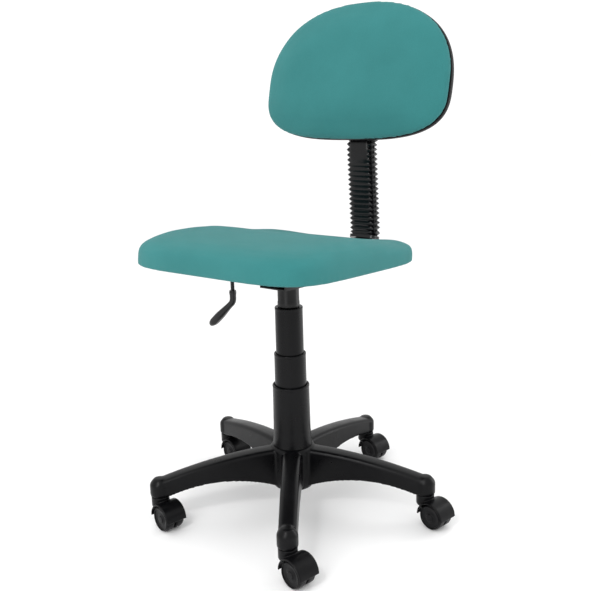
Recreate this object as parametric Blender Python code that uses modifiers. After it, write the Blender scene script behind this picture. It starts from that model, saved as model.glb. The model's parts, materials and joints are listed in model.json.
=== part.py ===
"""Swivel office chair: five-star base on hooded twin-wheel casters, telescopic gas-lift
column, contoured seat and a height-adjustable backrest on a bent bar inside a ribbed sleeve.

Units are metres, +Z is up, the chair faces -Y. The origin is on the floor, at the middle of
the chair's bounding box.
"""
import math

import bmesh
import bpy
from mathutils import Euler, Vector

# Place of the column's axis, and the clearance kept between touching pieces
AXIS_X, AXIS_Y = -0.019986, -0.036115
GAP = 0.0003

# Star base
LEG_COUNT = 5
LEG_ANGLE = math.radians(-54.1)         # direction of the first leg, from +X
STEM_CIRCLE = 0.270                     # radius of the circle through the caster stems
HUB_TOP, HUB_BOTTOM = 0.130, 0.043
HUB_RADIUS, HUB_BORE = 0.0445, 0.0256
KNOB_RADIUS, KNOB_TOP, KNOB_BOTTOM = 0.0189, 0.0965, 0.0610
LEG_ROOT_WIDTH, LEG_TIP_WIDTH = 0.040, 0.034
LEG_WALL = 0.0045

# Casters
WHEEL_RADIUS, WHEEL_WIDTH, WHEEL_SIDES = 0.025, 0.0175, 20
AXLE_HEIGHT = WHEEL_RADIUS * math.cos(math.pi / WHEEL_SIDES)
AXLE_RADIUS, WHEEL_BORE = 0.003, 0.0033
CASTER_TRAIL = 0.026                    # stem axis to wheel axle
CASTER_HEADING = math.radians(-10.5)    # where the casters trail to, from +X
WEB_THICKNESS = 0.004
HOOD_RADIUS, HOOD_CLEARANCE_RADIUS, HOOD_WIDTH = 0.0295, 0.0267, 0.0440
SLEEVE_RADIUS, SLEEVE_TOP, SLEEVE_BOTTOM = 0.0172, 0.0604, 0.0370
STEM_RADIUS, STEM_BORE = 0.0055, 0.0058
STEM_TOP, STEM_BOTTOM = 0.0885, 0.0453

# Column
TUBE_RADIUS, TUBE_WALL = 0.025, 0.0015
TUBE_TOP, TUBE_BOTTOM, TUBE_FLOOR = 0.262, 0.046, 0.003
CYLINDER_RADIUS, CYLINDER_TOP, CYLINDER_BOTTOM = 0.014, 0.452, 0.200
CYLINDER_SHOULDER = 0.445
ROD_BORE_RADIUS, ROD_BORE_TOP = 0.0055, 0.356
PIN_BORE_RADIUS, PIN_BORE_FLOOR = 0.0045, 0.4405
PIN_RADIUS, PIN_BOTTOM, PIN_TOP = 0.0040, 0.4443, 0.4600
BUSH_BOTTOM = 0.182
ROD_RADIUS, ROD_TOP, ROD_BOTTOM = 0.005, 0.230, 0.040
FLOOR_HOLE_RADIUS = 0.0065
BEARING_THICKNESS, BEARING_RADIUS = 0.006, 0.014
COLLAR_RADIUS, COLLAR_THICKNESS = 0.009, 0.0045
CLIP_RADIUS, CLIP_BOTTOM, CLIP_TOP = 0.011, 0.0435, 0.0455
COVER_WALL = 0.0018
LOWER_COVER = (0.0367, 0.0395, 0.256, 0.1303)       # top radius, foot radius, top, foot
MIDDLE_COVER = (0.0316, 0.0320, 0.321, 0.196)
UPPER_COVER = (0.0275, 0.0275, 0.414, 0.279)
SOCKET_RADIUS, SOCKET_TOP = 0.0215, 0.458

# Seat and the steelwork under it, in the seat's own tilted frame
SEAT_HEIGHT, SEAT_TILT = 0.503, math.radians(2.5)
SEAT_HALF_WIDTH, SEAT_HALF_DEPTH, SEAT_CENTRE_Y = 0.211, 0.209, -0.030
SEAT_THICKNESS, SEAT_CORNER = 0.047, 5.0
BOARD_BOTTOM, BOARD_THICKNESS, BOARD_INSET = 0.0013, 0.010, 0.012
PLATE_TOP, PLATE_THICKNESS = 0.0010, 0.0025
PLATE_HALF_WIDTH, PLATE_FRONT, PLATE_REAR = 0.075, -0.095, 0.115
CHANNEL_HALF_WIDTH, CHANNEL_BOTTOM, CHANNEL_WALL = 0.031, -0.049, 0.0025
CHANNEL_FRONT, CHANNEL_REAR = -0.045, 0.040
BOLT_PLACES = [(-0.060, -0.080), (0.060, -0.080), (-0.060, 0.100), (0.060, 0.100)]

# Height lever
LEVER_HEIGHT, LEVER_RADIUS = 0.4645, 0.004
LEVER_PIVOT_X, LEVER_DROP_X = -0.030, -0.1455
HANDLE_TOP, HANDLE_BEND = 0.428, 0.404
HANDLE_TIP_X, HANDLE_TIP_Z = -0.211, 0.345

# Back bar
BAR_HALF_WIDTH, BAR_THICKNESS = 0.020, 0.006
BAR_FRONT_Y = 0.035
BAR_SEAT_Z = -0.00885                   # the bar's middle, below the seat frame's origin
BAR_SLOT_HALF_WIDTH, BAR_SLOT_HALF_GAP = 0.0203, 0.0033
GUIDE_FRONT, GUIDE_REAR, GUIDE_WALL = 0.050, 0.100, 0.0032
STUD_HOLE_RADIUS = 0.0043

# Backrest, in its own leaning frame: x across, y towards the rear, z up along the back
BACK_Y, BACK_Z, BACK_LEAN = 0.220, 0.719, math.radians(12.7)
BACK_HALF_WIDTH, BACK_HEIGHT, BACK_WIDEST = 0.218, 0.275, 0.374
BACK_TOP_ROUNDNESS, BACK_BOTTOM_ROUNDNESS = 2.31, 3.09
BAR_BACK_OFFSET, BAR_TOP = 0.043, 0.175
BRACKET_BOTTOM, BRACKET_TOP = 0.090, 0.150
BRACKET_PLATE_Y, BRACKET_PLATE = 0.0163, 0.003
SCREW_PLACES = [(-0.028, 0.083), (0.028, 0.083), (-0.028, 0.157), (0.028, 0.157)]

# Ribbed sleeve over the bar
SLEEVE_START_Z, RIB_COUNT = 0.505, 28
RIB_HALF = (0.030, 0.0155)
VALLEY_HALF = (0.0255, 0.0130)
SLEEVE_INNER_HALF = (0.0222, 0.0100)


def clear_scene():
    for obj in list(bpy.data.objects):
        bpy.data.objects.remove(obj, do_unlink=True)


def make_collection(name):
    collection = bpy.data.collections.new(name)
    bpy.context.scene.collection.children.link(collection)
    return collection


def make_material(name, color, roughness, metallic=0.0):
    material = bpy.data.materials.new(name)
    material.use_nodes = True
    shader = material.node_tree.nodes["Principled BSDF"]
    shader.inputs["Base Color"].default_value = (*color, 1.0)
    shader.inputs["Roughness"].default_value = roughness
    shader.inputs["Metallic"].default_value = metallic
    return material


clear_scene()
PARTS = make_collection("swivel_chair")
CUTTERS = make_collection("cutters")
FABRIC = ((0.07, 0.28, 0.27), 0.95)
BLACK_PLASTIC = ((0.022, 0.022, 0.024), 0.42)
GREY_PLASTIC = ((0.30, 0.30, 0.29), 0.60)
BLACK_STEEL = ((0.018, 0.018, 0.019), 0.38)
BRIGHT_STEEL = ((0.60, 0.60, 0.62), 0.30, 1.0)
PLYWOOD = ((0.50, 0.35, 0.20), 0.75)
DUST_CLOTH = ((0.030, 0.030, 0.030), 0.95)


# ---------------------------------------------------------------- shapes

def finish_object(name, mesh, parent, finish):
    """Put a mesh in the scene as the named piece, or as a cutter when it has no finish."""
    obj = bpy.data.objects.new(name, mesh)
    obj.parent = parent
    if finish is None:
        CUTTERS.objects.link(obj)
        obj.hide_render = True
        obj.display_type = "WIRE"
        return obj
    PARTS.objects.link(obj)
    mesh.materials.append(make_material(name, *finish))
    mesh.shade_smooth()
    mesh.set_sharp_from_angle(angle=math.radians(35))
    return obj


def empty(name, location, rotation=(0.0, 0.0, 0.0), parent=None):
    frame = bpy.data.objects.new(name, None)
    frame.empty_display_size = 0.03
    frame.location = location
    frame.rotation_euler = Euler(rotation)
    frame.parent = parent
    PARTS.objects.link(frame)
    return frame


def lathe(name, profile, parent, finish, sides=24, closed=False):
    """Turn a profile of (radius, z) points about the parent's Z axis."""
    mesh = bpy.data.meshes.new(name)
    edges = [(i, i + 1) for i in range(len(profile) - 1)]
    if closed:
        edges.append((len(profile) - 1, 0))
    mesh.from_pydata([(radius, 0.0, z) for radius, z in profile], edges, [])
    obj = finish_object(name, mesh, parent, finish)
    screw = obj.modifiers.new("turn", "SCREW")
    screw.steps = screw.render_steps = sides
    screw.use_merge_vertices = True
    screw.merge_threshold = 0.00001
    screw.use_smooth_shade = True
    return obj


def cylinder(name, radius, bottom, top, parent, finish, sides=16):
    profile = [(0.0, top), (radius, top), (radius, bottom), (0.0, bottom)]
    return lathe(name, profile, parent, finish, sides)


def ring(name, inner, outer, bottom, top, parent, finish, sides=24):
    profile = [(outer, top), (outer, bottom), (inner, bottom), (inner, top)]
    return lathe(name, profile, parent, finish, sides, closed=True)


def box(name, low, high, parent, finish):
    mesh = bpy.data.meshes.new(name)
    bm = bmesh.new()
    bmesh.ops.create_cube(bm, size=1.0)
    low, high = Vector(low), Vector(high)
    bmesh.ops.scale(bm, vec=high - low, verts=bm.verts)
    bmesh.ops.translate(bm, vec=(low + high) / 2, verts=bm.verts)
    bm.to_mesh(mesh)
    bm.free()
    return finish_object(name, mesh, parent, finish)


def loft(name, rings, parent, finish):
    """Skin one closed solid through rings of points, with flat ends."""
    bm = bmesh.new()
    add_loft(bm, rings)
    return mesh_object(name, bm, parent, finish)


def add_loft(bm, rings):
    loops = [[bm.verts.new(point) for point in ring_points] for ring_points in rings]
    count = len(loops[0])
    for lower, upper in zip(loops, loops[1:]):
        for i in range(count):
            j = (i + 1) % count
            bm.faces.new((lower[i], lower[j], upper[j], upper[i]))
    bm.faces.new(loops[0])
    bm.faces.new(loops[-1])


def mesh_object(name, bm, parent, finish):
    bmesh.ops.recalc_face_normals(bm, faces=bm.faces)
    mesh = bpy.data.meshes.new(name)
    bm.to_mesh(mesh)
    bm.free()
    return finish_object(name, mesh, parent, finish)


def flat_piece(name, outline, thickness, parent, finish, rotation=(0.0, 0.0, 0.0),
               location=(0.0, 0.0, 0.0)):
    """Cut a flat piece from an outline; its thickness is centred on the outline's plane."""
    curve = bpy.data.curves.new(name, "CURVE")
    curve.dimensions = "2D"
    curve.fill_mode = "BOTH"
    curve.extrude = thickness / 2
    spline = curve.splines.new("POLY")
    spline.points.add(len(outline) - 1)
    for point, (x, y) in zip(spline.points, outline):
        point.co = (x, y, 0.0, 1.0)
    spline.use_cyclic_u = True
    holder = bpy.data.objects.new(name + "_outline", curve)
    bpy.context.scene.collection.objects.link(holder)
    evaluated = holder.evaluated_get(bpy.context.evaluated_depsgraph_get())
    bm = bmesh.new()
    flat_mesh = bpy.data.meshes.new_from_object(evaluated)
    bm.from_mesh(flat_mesh)
    bpy.data.objects.remove(holder, do_unlink=True)
    bpy.data.meshes.remove(flat_mesh)
    bmesh.ops.remove_doubles(bm, verts=bm.verts, dist=0.00001)
    obj = mesh_object(name, bm, parent, finish)
    obj.rotation_euler = Euler(rotation)
    obj.location = location
    return obj


def combine(obj, operand, operation):
    modifier = obj.modifiers.new(operation.lower(), "BOOLEAN")
    modifier.operation = operation
    modifier.solver = "EXACT"
    modifier.object = operand


def cut(obj, *operands):
    for operand in operands:
        combine(obj, operand, "DIFFERENCE")


def join(obj, *operands):
    for operand in operands:
        combine(obj, operand, "UNION")


def superellipse(half_width, half_depth, roundness, count, centre_y=0.0):
    points = []
    for i in range(count):
        angle = math.tau * i / count
        c, s = math.cos(angle), math.sin(angle)
        points.append((math.copysign(abs(c) ** (2 / roundness), c) * half_width,
                       math.copysign(abs(s) ** (2 / roundness), s) * half_depth + centre_y))
    return points


def rounded_path(corners, radii, steps):
    """Points along straight runs whose inner corners are rounded by arcs."""
    points = [Vector(corners[0])]
    for before, corner, after, radius in zip(corners, corners[1:], corners[2:], radii):
        corner = Vector(corner)
        back = (Vector(before) - corner).normalized()
        ahead = (Vector(after) - corner).normalized()
        half = back.angle(ahead) / 2
        centre = corner + (back + ahead).normalized() * (radius / math.sin(half))
        first = corner + back * (radius / math.tan(half)) - centre
        last = corner + ahead * (radius / math.tan(half)) - centre
        sweep = first.angle(last)
        for i in range(steps + 1):
            t = i / steps
            blend = (first * math.sin((1 - t) * sweep) + last * math.sin(t * sweep))
            points.append(centre + blend / math.sin(sweep))
    points.append(Vector(corners[-1]))
    return points


# ---------------------------------------------------------------- star base

def leg_top(r):
    return 0.127 - 0.034 * (max(r - 0.04, 0.0) / 0.23) ** 1.8


def leg_bottom(r):
    if r < 0.165:
        return 0.075 - 0.032 * ((0.165 - r) / 0.14) ** 2
    return max(0.075 - 0.014 * ((r - 0.165) / 0.09) ** 2, KNOB_BOTTOM)


def leg_half_width(r):
    t = r / STEM_CIRCLE
    return (LEG_ROOT_WIDTH * (1 - t) + LEG_TIP_WIDTH * t) / 2


def leg_section(r, direction):
    """Cross-section of a leg: straight sides, rounded shoulders and a slight crown."""
    across = Vector((-direction.y, direction.x, 0.0))
    half, top, bottom = leg_half_width(r), leg_top(r), leg_bottom(r)
    shoulder = 0.010
    outline = [(-half, bottom), (half, bottom)]
    for turn in (0, 45, 85, 95, 135, 180):
        angle = math.radians(turn)
        side = half - shoulder if turn < 90 else shoulder - half
        outline.append((side + shoulder * math.cos(angle),
                        top - shoulder + shoulder * math.sin(angle)))
    return [direction * r + across * s + Vector((0.0, 0.0, z)) for s, z in outline]


def pocket_section(r, direction):
    across = Vector((-direction.y, direction.x, 0.0))
    half = leg_half_width(r) - LEG_WALL
    top = leg_top(r) - LEG_WALL - 0.002
    bottom = leg_bottom(r) - 0.010
    outline = [(-half, bottom), (half, bottom), (half, top - 0.004), (0.0, top),
               (-half, top - 0.004)]
    return [direction * r + across * s + Vector((0.0, 0.0, z)) for s, z in outline]


def leg_directions():
    for k in range(LEG_COUNT):
        angle = LEG_ANGLE + math.tau * k / LEG_COUNT
        yield Vector((math.cos(angle), math.sin(angle), 0.0))


def star_base(chair):
    hub = lathe("star_base", [
        (0.0385, HUB_TOP), (0.0425, 0.1285), (HUB_RADIUS, 0.124), (HUB_RADIUS, 0.056),
        (0.0410, HUB_BOTTOM), (HUB_BORE, HUB_BOTTOM), (HUB_BORE, HUB_TOP),
    ], chair, BLACK_PLASTIC, sides=24, closed=True)
    legs, knobs, pockets, bores = bmesh.new(), bmesh.new(), bmesh.new(), bmesh.new()
    stations = [0.030, 0.065, 0.105, 0.145, 0.185, 0.225, STEM_CIRCLE]
    knob_profile = [(0.0080, 0.0), (0.0145, 0.0030), (KNOB_RADIUS, 0.0105)]
    for direction in leg_directions():
        add_loft(legs, [leg_section(r, direction) for r in stations])
        tip = direction * STEM_CIRCLE
        levels = [(r, KNOB_TOP - drop) for r, drop in knob_profile]
        levels.append((KNOB_RADIUS, KNOB_BOTTOM))
        add_loft(knobs, [circle(tip, r, z, 16) for r, z in levels])
        for inner, outer in ((0.052, 0.103), (0.108, 0.162), (0.167, 0.226)):
            add_loft(pockets, [pocket_section(r, direction) for r in (inner, outer)])
        add_loft(bores, [circle(tip, STEM_BORE, z, 10) for z in (0.050, STEM_TOP + 0.001)])
    join(hub, mesh_object("legs", legs, chair, None), mesh_object("knobs", knobs, chair, None))
    cut(hub, mesh_object("leg_pockets", pockets, chair, None),
        mesh_object("stem_bores", bores, chair, None))
    return hub


def circle(centre, radius, z, count):
    turn = math.tau / count
    return [(centre.x + radius * math.cos(i * turn), centre.y + radius * math.sin(i * turn), z)
            for i in range(count)]


# ---------------------------------------------------------------- casters

def hood_outline():
    """The hood's side view about the axle: a half circle over the wheels, closed under it."""
    arc = [math.radians(a) for a in range(0, 181, 15)]
    outline = [(HOOD_RADIUS * math.cos(a), HOOD_RADIUS * math.sin(a)) for a in arc]
    return outline + [(-0.0150, -0.0040), (-0.0070, -0.0085), (0.0070, -0.0085),
                      (0.0150, -0.0040)]


def caster(number, direction, chair):
    name = f"caster_{number}_"
    stem_axis = empty(name + "swivel", direction * STEM_CIRCLE, (0, 0, CASTER_HEADING), chair)
    axle_axis = empty(name + "axle_line", (CASTER_TRAIL, 0.0, AXLE_HEIGHT),
                      (-math.pi / 2, 0.0, 0.0), stem_axis)

    # The axle frame's Y points down, so the hood's outline is turned to stand upright.
    housing = flat_piece(name + "housing", hood_outline(), HOOD_WIDTH, axle_axis,
                         BLACK_PLASTIC, rotation=(math.pi, 0.0, 0.0))
    neck = lathe(name + "neck", [
        (0.0, SLEEVE_TOP), (SLEEVE_RADIUS - 0.0015, SLEEVE_TOP),
        (SLEEVE_RADIUS, SLEEVE_TOP - 0.0015), (SLEEVE_RADIUS, SLEEVE_BOTTOM + 0.006),
        (SLEEVE_RADIUS - 0.003, SLEEVE_BOTTOM), (0.0, SLEEVE_BOTTOM),
    ], stem_axis, None, sides=12)
    join(housing, neck)
    inner, outer = WEB_THICKNESS / 2, HOOD_WIDTH
    cut(housing,
        cylinder(name + "left_pocket", HOOD_CLEARANCE_RADIUS, inner, outer, axle_axis, None, 16),
        cylinder(name + "right_pocket", HOOD_CLEARANCE_RADIUS, -outer, -inner, axle_axis,
                 None, 16),
        cylinder(name + "axle_bore", WHEEL_BORE, -HOOD_WIDTH, HOOD_WIDTH, axle_axis, None, 10),
        cylinder(name + "stem_bore", STEM_BORE, STEM_BOTTOM - GAP, KNOB_BOTTOM, stem_axis,
                 None, 10))

    cylinder(name + "stem", STEM_RADIUS, STEM_BOTTOM, STEM_TOP, stem_axis, BRIGHT_STEEL, 10)
    start = inner + GAP
    end = start + WHEEL_WIDTH
    cylinder(name + "axle", AXLE_RADIUS, 0.0015 - end, end - 0.0015, axle_axis,
             BRIGHT_STEEL, 10)
    for side, label in ((1, "left"), (-1, "right")):
        profile = [
            (WHEEL_BORE, end - 0.0010), (0.0100, end - 0.0025), (0.0185, end - 0.0025),
            (0.0205, end), (WHEEL_RADIUS - 0.0015, end), (WHEEL_RADIUS, end - 0.0020),
            (WHEEL_RADIUS, start), (WHEEL_BORE, start),
        ]
        wheel = lathe(name + "wheel_" + label, profile, axle_axis, BLACK_PLASTIC, WHEEL_SIDES,
                      closed=True)
        flip = 0.0 if side > 0 else math.pi
        wheel.rotation_euler = Euler((flip, 0.0, math.pi / WHEEL_SIDES))


# ---------------------------------------------------------------- column

def cover(name, sizes, lip_radius, parent):
    """One telescopic stage: a thin tube with a lip at its top that closes on the next."""
    top_radius, foot_radius, top, foot = sizes
    flare = foot + 0.25 * (top - foot)
    profile = [
        (lip_radius, top), (top_radius - 0.0006, top), (top_radius, top - 0.0012),
        (top_radius + 0.15 * (foot_radius - top_radius), flare), (foot_radius, foot),
        (foot_radius - COVER_WALL, foot),
        (top_radius + 0.15 * (foot_radius - top_radius) - COVER_WALL, flare),
        (top_radius - COVER_WALL, top - 0.0025), (lip_radius, top - 0.0025),
    ]
    return lathe(name, profile, parent, BLACK_PLASTIC, closed=True)


def column(chair, rod_axis, lift):
    floor_top = TUBE_BOTTOM + TUBE_FLOOR
    lathe("column_tube", [
        (TUBE_RADIUS, TUBE_TOP), (TUBE_RADIUS, TUBE_BOTTOM), (FLOOR_HOLE_RADIUS, TUBE_BOTTOM),
        (FLOOR_HOLE_RADIUS, floor_top), (TUBE_RADIUS - TUBE_WALL, floor_top),
        (TUBE_RADIUS - TUBE_WALL, TUBE_TOP),
    ], chair, BLACK_STEEL, closed=True)
    ring("guide_bush", CYLINDER_RADIUS + 0.0005, TUBE_RADIUS - TUBE_WALL - GAP, BUSH_BOTTOM,
         TUBE_TOP - 0.0005, chair, GREY_PLASTIC)
    cover("cover_lower", LOWER_COVER, 0.0335, chair)
    cover("cover_middle", MIDDLE_COVER, 0.0286, lift)
    cover("cover_upper", UPPER_COVER, CYLINDER_RADIUS + 0.0008, lift)

    bearing_top = floor_top + GAP + BEARING_THICKNESS
    ring("thrust_bearing", ROD_RADIUS + 0.0005, BEARING_RADIUS, floor_top + GAP, bearing_top,
         rod_axis, BRIGHT_STEEL, 20)
    collar_bottom = bearing_top + GAP
    collar_top = bearing_top + COLLAR_THICKNESS
    lathe("piston_rod", [
        (0.0, ROD_TOP), (ROD_RADIUS, ROD_TOP), (ROD_RADIUS, collar_top),
        (COLLAR_RADIUS, collar_top), (COLLAR_RADIUS, collar_bottom),
        (ROD_RADIUS, collar_bottom), (ROD_RADIUS, ROD_BOTTOM), (0.0, ROD_BOTTOM),
    ], rod_axis, BRIGHT_STEEL, 12)
    ring("retaining_clip", ROD_RADIUS + GAP, CLIP_RADIUS, CLIP_BOTTOM, CLIP_TOP, rod_axis,
         BRIGHT_STEEL, 12)

    lathe("gas_cylinder", [
        (0.0, PIN_BORE_FLOOR), (PIN_BORE_RADIUS, PIN_BORE_FLOOR),
        (PIN_BORE_RADIUS, CYLINDER_TOP), (CYLINDER_RADIUS - 0.0015, CYLINDER_TOP),
        (CYLINDER_RADIUS, CYLINDER_SHOULDER), (CYLINDER_RADIUS, CYLINDER_BOTTOM),
        (ROD_BORE_RADIUS, CYLINDER_BOTTOM), (ROD_BORE_RADIUS, ROD_BORE_TOP),
        (0.0, ROD_BORE_TOP),
    ], lift, BLACK_STEEL, 20)
    cylinder("release_pin", PIN_RADIUS, PIN_BOTTOM, PIN_TOP, lift, BRIGHT_STEEL, 12)
    ring("taper_socket", CYLINDER_RADIUS + GAP + 0.0002, SOCKET_RADIUS, UPPER_COVER[2] + GAP,
         SOCKET_TOP, lift, BLACK_STEEL)


# ---------------------------------------------------------------- mechanism and lever

def mechanism(lift, seat):
    plate_low = PLATE_TOP - PLATE_THICKNESS
    frame = box("mechanism_frame", (-PLATE_HALF_WIDTH, PLATE_FRONT, plate_low),
                (PLATE_HALF_WIDTH, PLATE_REAR, PLATE_TOP), seat, BLACK_STEEL)
    inner = CHANNEL_HALF_WIDTH - CHANNEL_WALL
    channel = box("channel", (-CHANNEL_HALF_WIDTH, CHANNEL_FRONT, CHANNEL_BOTTOM),
                  (CHANNEL_HALF_WIDTH, CHANNEL_REAR, plate_low + 0.001), seat, None)
    guide_low = BAR_SEAT_Z - BAR_SLOT_HALF_GAP - GUIDE_WALL
    guide = box("bar_guide", (-BAR_SLOT_HALF_WIDTH - GUIDE_WALL, GUIDE_FRONT, guide_low),
                (BAR_SLOT_HALF_WIDTH + GUIDE_WALL, GUIDE_REAR, plate_low + 0.001), seat, None)
    join(frame, channel, guide)
    slot = box("bar_slot", (-BAR_SLOT_HALF_WIDTH, GUIDE_FRONT - 0.01,
                            BAR_SEAT_Z - BAR_SLOT_HALF_GAP),
               (BAR_SLOT_HALF_WIDTH, GUIDE_REAR + 0.01, BAR_SEAT_Z + BAR_SLOT_HALF_GAP), seat,
               None)
    hollow = box("channel_hollow", (-inner, CHANNEL_FRONT - 0.01, CHANNEL_BOTTOM + CHANNEL_WALL),
                 (inner, CHANNEL_REAR + 0.005, plate_low - 0.0003), seat, None)
    socket_hole = cylinder("socket_hole", SOCKET_RADIUS + 2 * GAP, SOCKET_TOP - 0.020,
                           SOCKET_TOP + 0.010, lift, None, 24)
    lever_hole = cylinder("lever_hole", LEVER_RADIUS + 0.0012, CHANNEL_HALF_WIDTH - 0.010,
                          CHANNEL_HALF_WIDTH + 0.010, lift, None, 12)
    lever_hole.rotation_euler = Euler((0.0, -math.pi / 2, 0.0))
    lever_hole.location = (0.0, 0.0, LEVER_HEIGHT)
    stud_hole = cylinder("depth_stud_hole", STUD_HOLE_RADIUS, guide_low - 0.005,
                         BAR_SEAT_Z, seat, None, 12)
    stud_hole.location = (0.0, (GUIDE_FRONT + GUIDE_REAR) / 2, 0.0)
    cut(frame, hollow, slot, socket_hole, lever_hole, stud_hole,
        bolt_holes("plate_bolt_holes", seat))


def bolt_holes(name, seat):
    holes = bmesh.new()
    for x, y in BOLT_PLACES:
        add_loft(holes, [circle(Vector((x, y, 0.0)), 0.0034, z, 8) for z in (-0.010, 0.0125)])
    return mesh_object(name, holes, seat, None)


def seat_bolts(seat):
    head_top = PLATE_TOP - PLATE_THICKNESS - GAP
    for number, (x, y) in enumerate(BOLT_PLACES, 1):
        bolt = lathe(f"seat_bolt_{number}", [
            (0.0, 0.0095), (0.003, 0.0095), (0.003, head_top), (0.0070, head_top),
            (0.0065, head_top - 0.0042), (0.0, head_top - 0.0042),
        ], seat, BRIGHT_STEEL, 8)
        bolt.location = (x, y, 0.0)


def lever(pivot):
    """The rod from over the release pin to the handle, in the pivot's frame."""
    def local(x, z):
        return (x - LEVER_PIVOT_X, 0.0, z - LEVER_HEIGHT)

    route = rounded_path([(0.006, 0.0, LEVER_HEIGHT), (LEVER_DROP_X, 0.0, LEVER_HEIGHT),
                          (LEVER_DROP_X, 0.0, HANDLE_TOP - 0.018)], [0.014], 5)
    curve = bpy.data.curves.new("lever_rod", "CURVE")
    curve.dimensions = "3D"
    curve.bevel_depth = LEVER_RADIUS
    curve.bevel_resolution = 2
    curve.use_fill_caps = True
    spline = curve.splines.new("POLY")
    spline.points.add(len(route) - 1)
    for point, place in zip(spline.points, route):
        point.co = (*local(place.x, place.z), 1.0)
    rod = bpy.data.objects.new("lever_rod", curve)
    rod.parent = pivot
    PARTS.objects.link(rod)
    curve.materials.append(make_material("lever_rod", *BLACK_STEEL))

    bend = (LEVER_DROP_X, 0.0, HANDLE_BEND)
    tip = (HANDLE_TIP_X, 0.0, HANDLE_TIP_Z)
    spine = rounded_path([(LEVER_DROP_X, 0.0, HANDLE_TOP), bend, tip], [0.012], 3)
    spine.insert(-1, spine[-2].lerp(spine[-1], 0.35))
    spine.insert(-1, spine[-3].lerp(spine[-1], 0.75))
    widths = [(0.0062, 0.0062)] + [(0.0068, 0.0068)] * 4
    widths += [(0.0100, 0.0084), (0.0105, 0.0082), (0.0055, 0.0040)]
    rings = []
    for i, (place, (half_width, half_depth)) in enumerate(zip(spine, widths)):
        ahead = (spine[min(i + 1, len(spine) - 1)] - spine[max(i - 1, 0)]).normalized()
        normal = Vector((ahead.z, 0.0, -ahead.x))
        centre = Vector(local(place.x, place.z))
        rings.append([centre + normal * (half_depth * v) + Vector((0.0, half_width * u, 0.0))
                      for u, v in superellipse(1.0, 1.0, 2.4, 12)])
    handle = loft("lever_handle", rings, pivot, BLACK_PLASTIC)
    bore = cylinder("lever_bore", LEVER_RADIUS + GAP, HANDLE_TOP - 0.019 - LEVER_HEIGHT,
                    HANDLE_TOP + 0.005 - LEVER_HEIGHT, pivot, None, 12)
    bore.location = (LEVER_DROP_X - LEVER_PIVOT_X, 0.0, 0.0)
    cut(handle, bore)


# ---------------------------------------------------------------- seat

def seat_contour(y):
    """Raised under the thighs, dished under the sitter."""
    thighs = 0.013 * math.exp(-((y + 0.07) / 0.10) ** 2)
    dish = 0.010 * math.exp(-((y - 0.12) / 0.09) ** 2)
    return thighs - dish


def seat_outline(inset, count=32):
    return superellipse(SEAT_HALF_WIDTH - inset, SEAT_HALF_DEPTH - inset, SEAT_CORNER, count,
                        SEAT_CENTRE_Y)


def seat(frame):
    edge = [(0.004, GAP, 0.0), (0.0, 0.010, 0.0), (0.002, 0.024, 0.1), (0.014, 0.038, 0.7),
            (0.045, SEAT_THICKNESS, 1.0), (0.100, SEAT_THICKNESS, 1.0),
            (0.155, SEAT_THICKNESS, 1.0)]
    rings = []
    for inset, height, contour in edge:
        rings.append([(x, y, height + contour * seat_contour(y - SEAT_CENTRE_Y))
                      for x, y in seat_outline(inset)])
    cushion = loft("seat_cushion", rings, frame, FABRIC)
    roof = BOARD_BOTTOM + BOARD_THICKNESS
    recess = loft("board_recess", [[(x, y, z) for x, y in seat_outline(BOARD_INSET - 0.0004)]
                                   for z in (-0.005, roof + GAP)], frame, None)
    cut(cushion, recess)

    board = flat_piece("seat_board", seat_outline(BOARD_INSET), BOARD_THICKNESS, frame, PLYWOOD,
                       location=(0.0, 0.0, BOARD_BOTTOM + BOARD_THICKNESS / 2))
    cut(board, bolt_holes("board_bolt_holes", frame))

    sheet = BOARD_BOTTOM - 2 * GAP
    dust_cover = flat_piece("seat_dust_cover", seat_outline(BOARD_INSET + 0.004), sheet, frame,
                            DUST_CLOTH, location=(0.0, 0.0, GAP + sheet / 2))
    opening = box("dust_cover_opening", (-PLATE_HALF_WIDTH - 0.001, PLATE_FRONT - 0.001, -0.01),
                  (PLATE_HALF_WIDTH + 0.001, PLATE_REAR + 0.001, 0.01), frame, None)
    cut(dust_cover, opening)
    seat_bolts(frame)


# ---------------------------------------------------------------- back bar and sleeve

def back_point(y, z):
    """A point of the backrest's own frame, as (y, z) beside the column's axis."""
    s, c = math.sin(BACK_LEAN), math.cos(BACK_LEAN)
    return Vector((0.0, BACK_Y + z * s + y * c, BACK_Z + z * c - y * s))


def seat_point(y, z):
    s, c = math.sin(SEAT_TILT), math.cos(SEAT_TILT)
    return Vector((0.0, y * c + z * s, SEAT_HEIGHT - y * s + z * c))


def bar_path(steps):
    heel = seat_point(0.276, BAR_SEAT_Z)
    return rounded_path([seat_point(BAR_FRONT_Y, BAR_SEAT_Z), heel,
                         back_point(BAR_BACK_OFFSET, -0.004),
                         back_point(BAR_BACK_OFFSET, BAR_TOP)], [0.042, 0.090], steps)


def back_bar(frame):
    path = bar_path(8)
    front, rear = [], []
    for i, point in enumerate(path):
        ahead = (path[min(i + 1, len(path) - 1)] - path[max(i - 1, 0)]).normalized()
        side = Vector((0.0, -ahead.z, ahead.y)) * (BAR_THICKNESS / 2)
        front.append(point + side)
        rear.append(point - side)
    rings = []
    for x in (-BAR_HALF_WIDTH, BAR_HALF_WIDTH):
        rings.append([(x, p.y, p.z) for p in front + rear[::-1]])
    loft("back_bar", rings, frame, BLACK_STEEL)


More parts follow.
